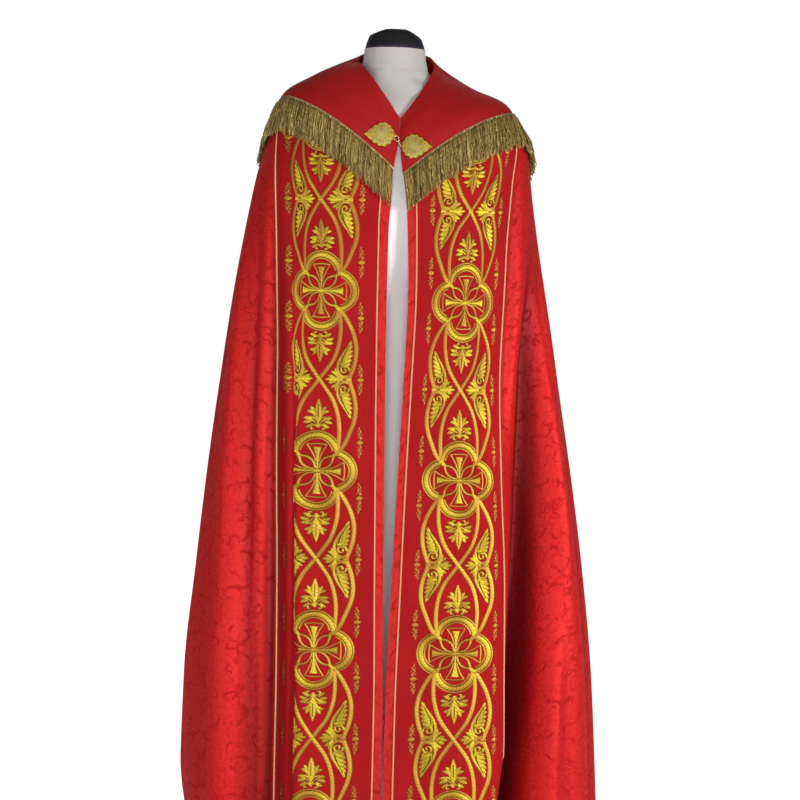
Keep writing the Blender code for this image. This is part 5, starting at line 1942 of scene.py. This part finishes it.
def formRing(z, turn):
    table = np.array(form["rows"])
    half, front, back = (np.interp(-z, -table[:, 0], table[:, k]) for k in (1, 2, 3))
    depth = np.where(np.cos(turn) > 0, front, back)
    neckSeam = form["neckSeamDeep"] * math.exp(-(((z - form["neckSeam"]) / form["neckSeamWide"]) ** 2))
    sideSeam = form["sideSeamDeep"] * np.exp(-((np.abs(np.sin(turn)) - 1) / form["sideSeamWide"]) ** 2)
    (begin, beginOver), (end, endOver) = form["wrinklesFrom"], form["wrinklesTo"]
    wrinkle = form["wrinkleDeep"] * np.sin(turn * form["wrinkles"] + 2.2 * math.sin(z * 31))
    wrinkle = wrinkle * smoothstep((z - begin) / beginOver) * (1 - smoothstep((z - end) / endOver))
    out = 1 + (wrinkle - neckSeam - sideSeam) / 0.08
    return np.column_stack([-half * np.sin(turn) * out, -depth * np.cos(turn) * out, np.full(len(turn), z)])


def capRing(radius, rise, turn):
    # The cap stands lower at its sides, and its cloth is gathered.
    ring = []
    for angle in turn:
        x, y = -radius * math.sin(angle), -radius * math.cos(angle)
        lower = 0.34 * smoothstep((x - 0.018) / 0.040) + 0.20 * smoothstep((-0.012 - x) / 0.040)
        gather = 1 + form["capGatherDeep"] * math.sin(angle * form["capGathers"] + 5 * rise) * rise
        height = form["capHeight"] * (1 - lower)
        ring.append((x * gather, y * gather, form["top"] + cloth["gap"] + height * rise))
    return ring


def buildForm():
    turn = 2 * math.pi * np.arange(form["sides"]) / form["sides"]
    heights = np.concatenate([np.linspace(form["top"], form["fineDownTo"], 60),
                              np.linspace(form["fineDownTo"] - 0.005, form["bottom"], 130)])
    body = ringsObject("formBody", [formRing(z, turn) for z in heights], formJersey, 60)
    cap = ringsObject("neckCap", [capRing(*row, turn) for row in form["capRings"]], formCap, 60)

    def disc(radius, z):
        return [(-radius * math.sin(a), -radius * math.cos(a), z) for a in turn]

    top, foot = form["bottom"] - cloth["gap"], form["baseRings"][0][1] + cloth["gap"]
    pole = ringsObject("formPole", [disc(form["poleRadius"], z) for z in (top, foot)], formMetal, 40)
    base = ringsObject("formBase", [disc(*row) for row in form["baseRings"]], formMetal, 40)
    return body, cap, pole, base


formBody, neckCap, formPole, formBase = buildForm()
print("dress form ready")


# The floor.

floor = {
    "radius": 14.0,
    "sides": 96,
    "shade": (0.86, 0.86, 0.86),
    "light": (0.90, 0.90, 0.90),
    "glow": 0.86,  # as the camera sees it, so that it runs into the backdrop
}


def buildFloor():
    made, tree = startMaterial("floor", roughness=0.9, specular=0.0)
    inputs = tree.nodes["Principled BSDF"].inputs
    feed(mixed(noise(objectPlace(tree), 0.8), floor["shade"], floor["light"]), inputs["Base Color"])
    seen = addNode(tree, "ShaderNodeLightPath").outputs["Is Camera Ray"]
    feed((1, 1, 1, 1), inputs["Emission Color"])
    feed(times(seen, floor["glow"]), inputs["Emission Strength"])
    turns = [2 * math.pi * k / floor["sides"] for k in range(floor["sides"])]
    points = [(floor["radius"] * math.cos(a), floor["radius"] * math.sin(a), 0.0) for a in turns]
    meshObject("floor", points, [list(range(floor["sides"]))], (made,), smooth=False)


buildFloor()


# What each piece rides on, stands for and is cut from.

for bed in (bedLeft, bedRight, fringeBed, *lapelBeds.values()):
    bpy.data.objects.remove(bed)

for piece, nodes, slot in (
    (bodyLeft, ["body_left"], "red_damask"),
    (bodyBack, ["body_back"], "red_damask"),
    (bodyRight, ["body_right"], "red_damask"),
    (orphreyLeft, ["orphrey_left"], "red_velvet"),
    (orphreyRight, ["orphrey_right"], "red_velvet"),
    (embroideryLeft, [], "gold_thread"),
    (embroideryRight, [], "gold_thread"),
    *((cord, [node], "gold_thread") for cord, node in pipings),
    (shoulderCape, ["collar"], "red_damask"),
    (fringeStrands, ["fringe"], "gold_thread"),
    (fringeHeader, ["fringe"], "gold_thread"),
    (claspLeaves[0], ["medallion_left"], "gold_lace"),
    (claspLeaves[1], ["medallion_right"], "gold_lace"),
    (claspEye, ["clasp_eye"], "clasp_metal"),
    (claspHook, ["clasp_hook"], "clasp_metal"),
    (formBody, ["form_body"], "form_jersey"),
    (neckCap, ["neck_cap"], "form_black"),
    (formPole, ["form_pole"], "form_metal"),
    (formBase, ["form_base"], "form_metal"),
):
    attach(piece, "root")
    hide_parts(*nodes)

print("all pieces placed")
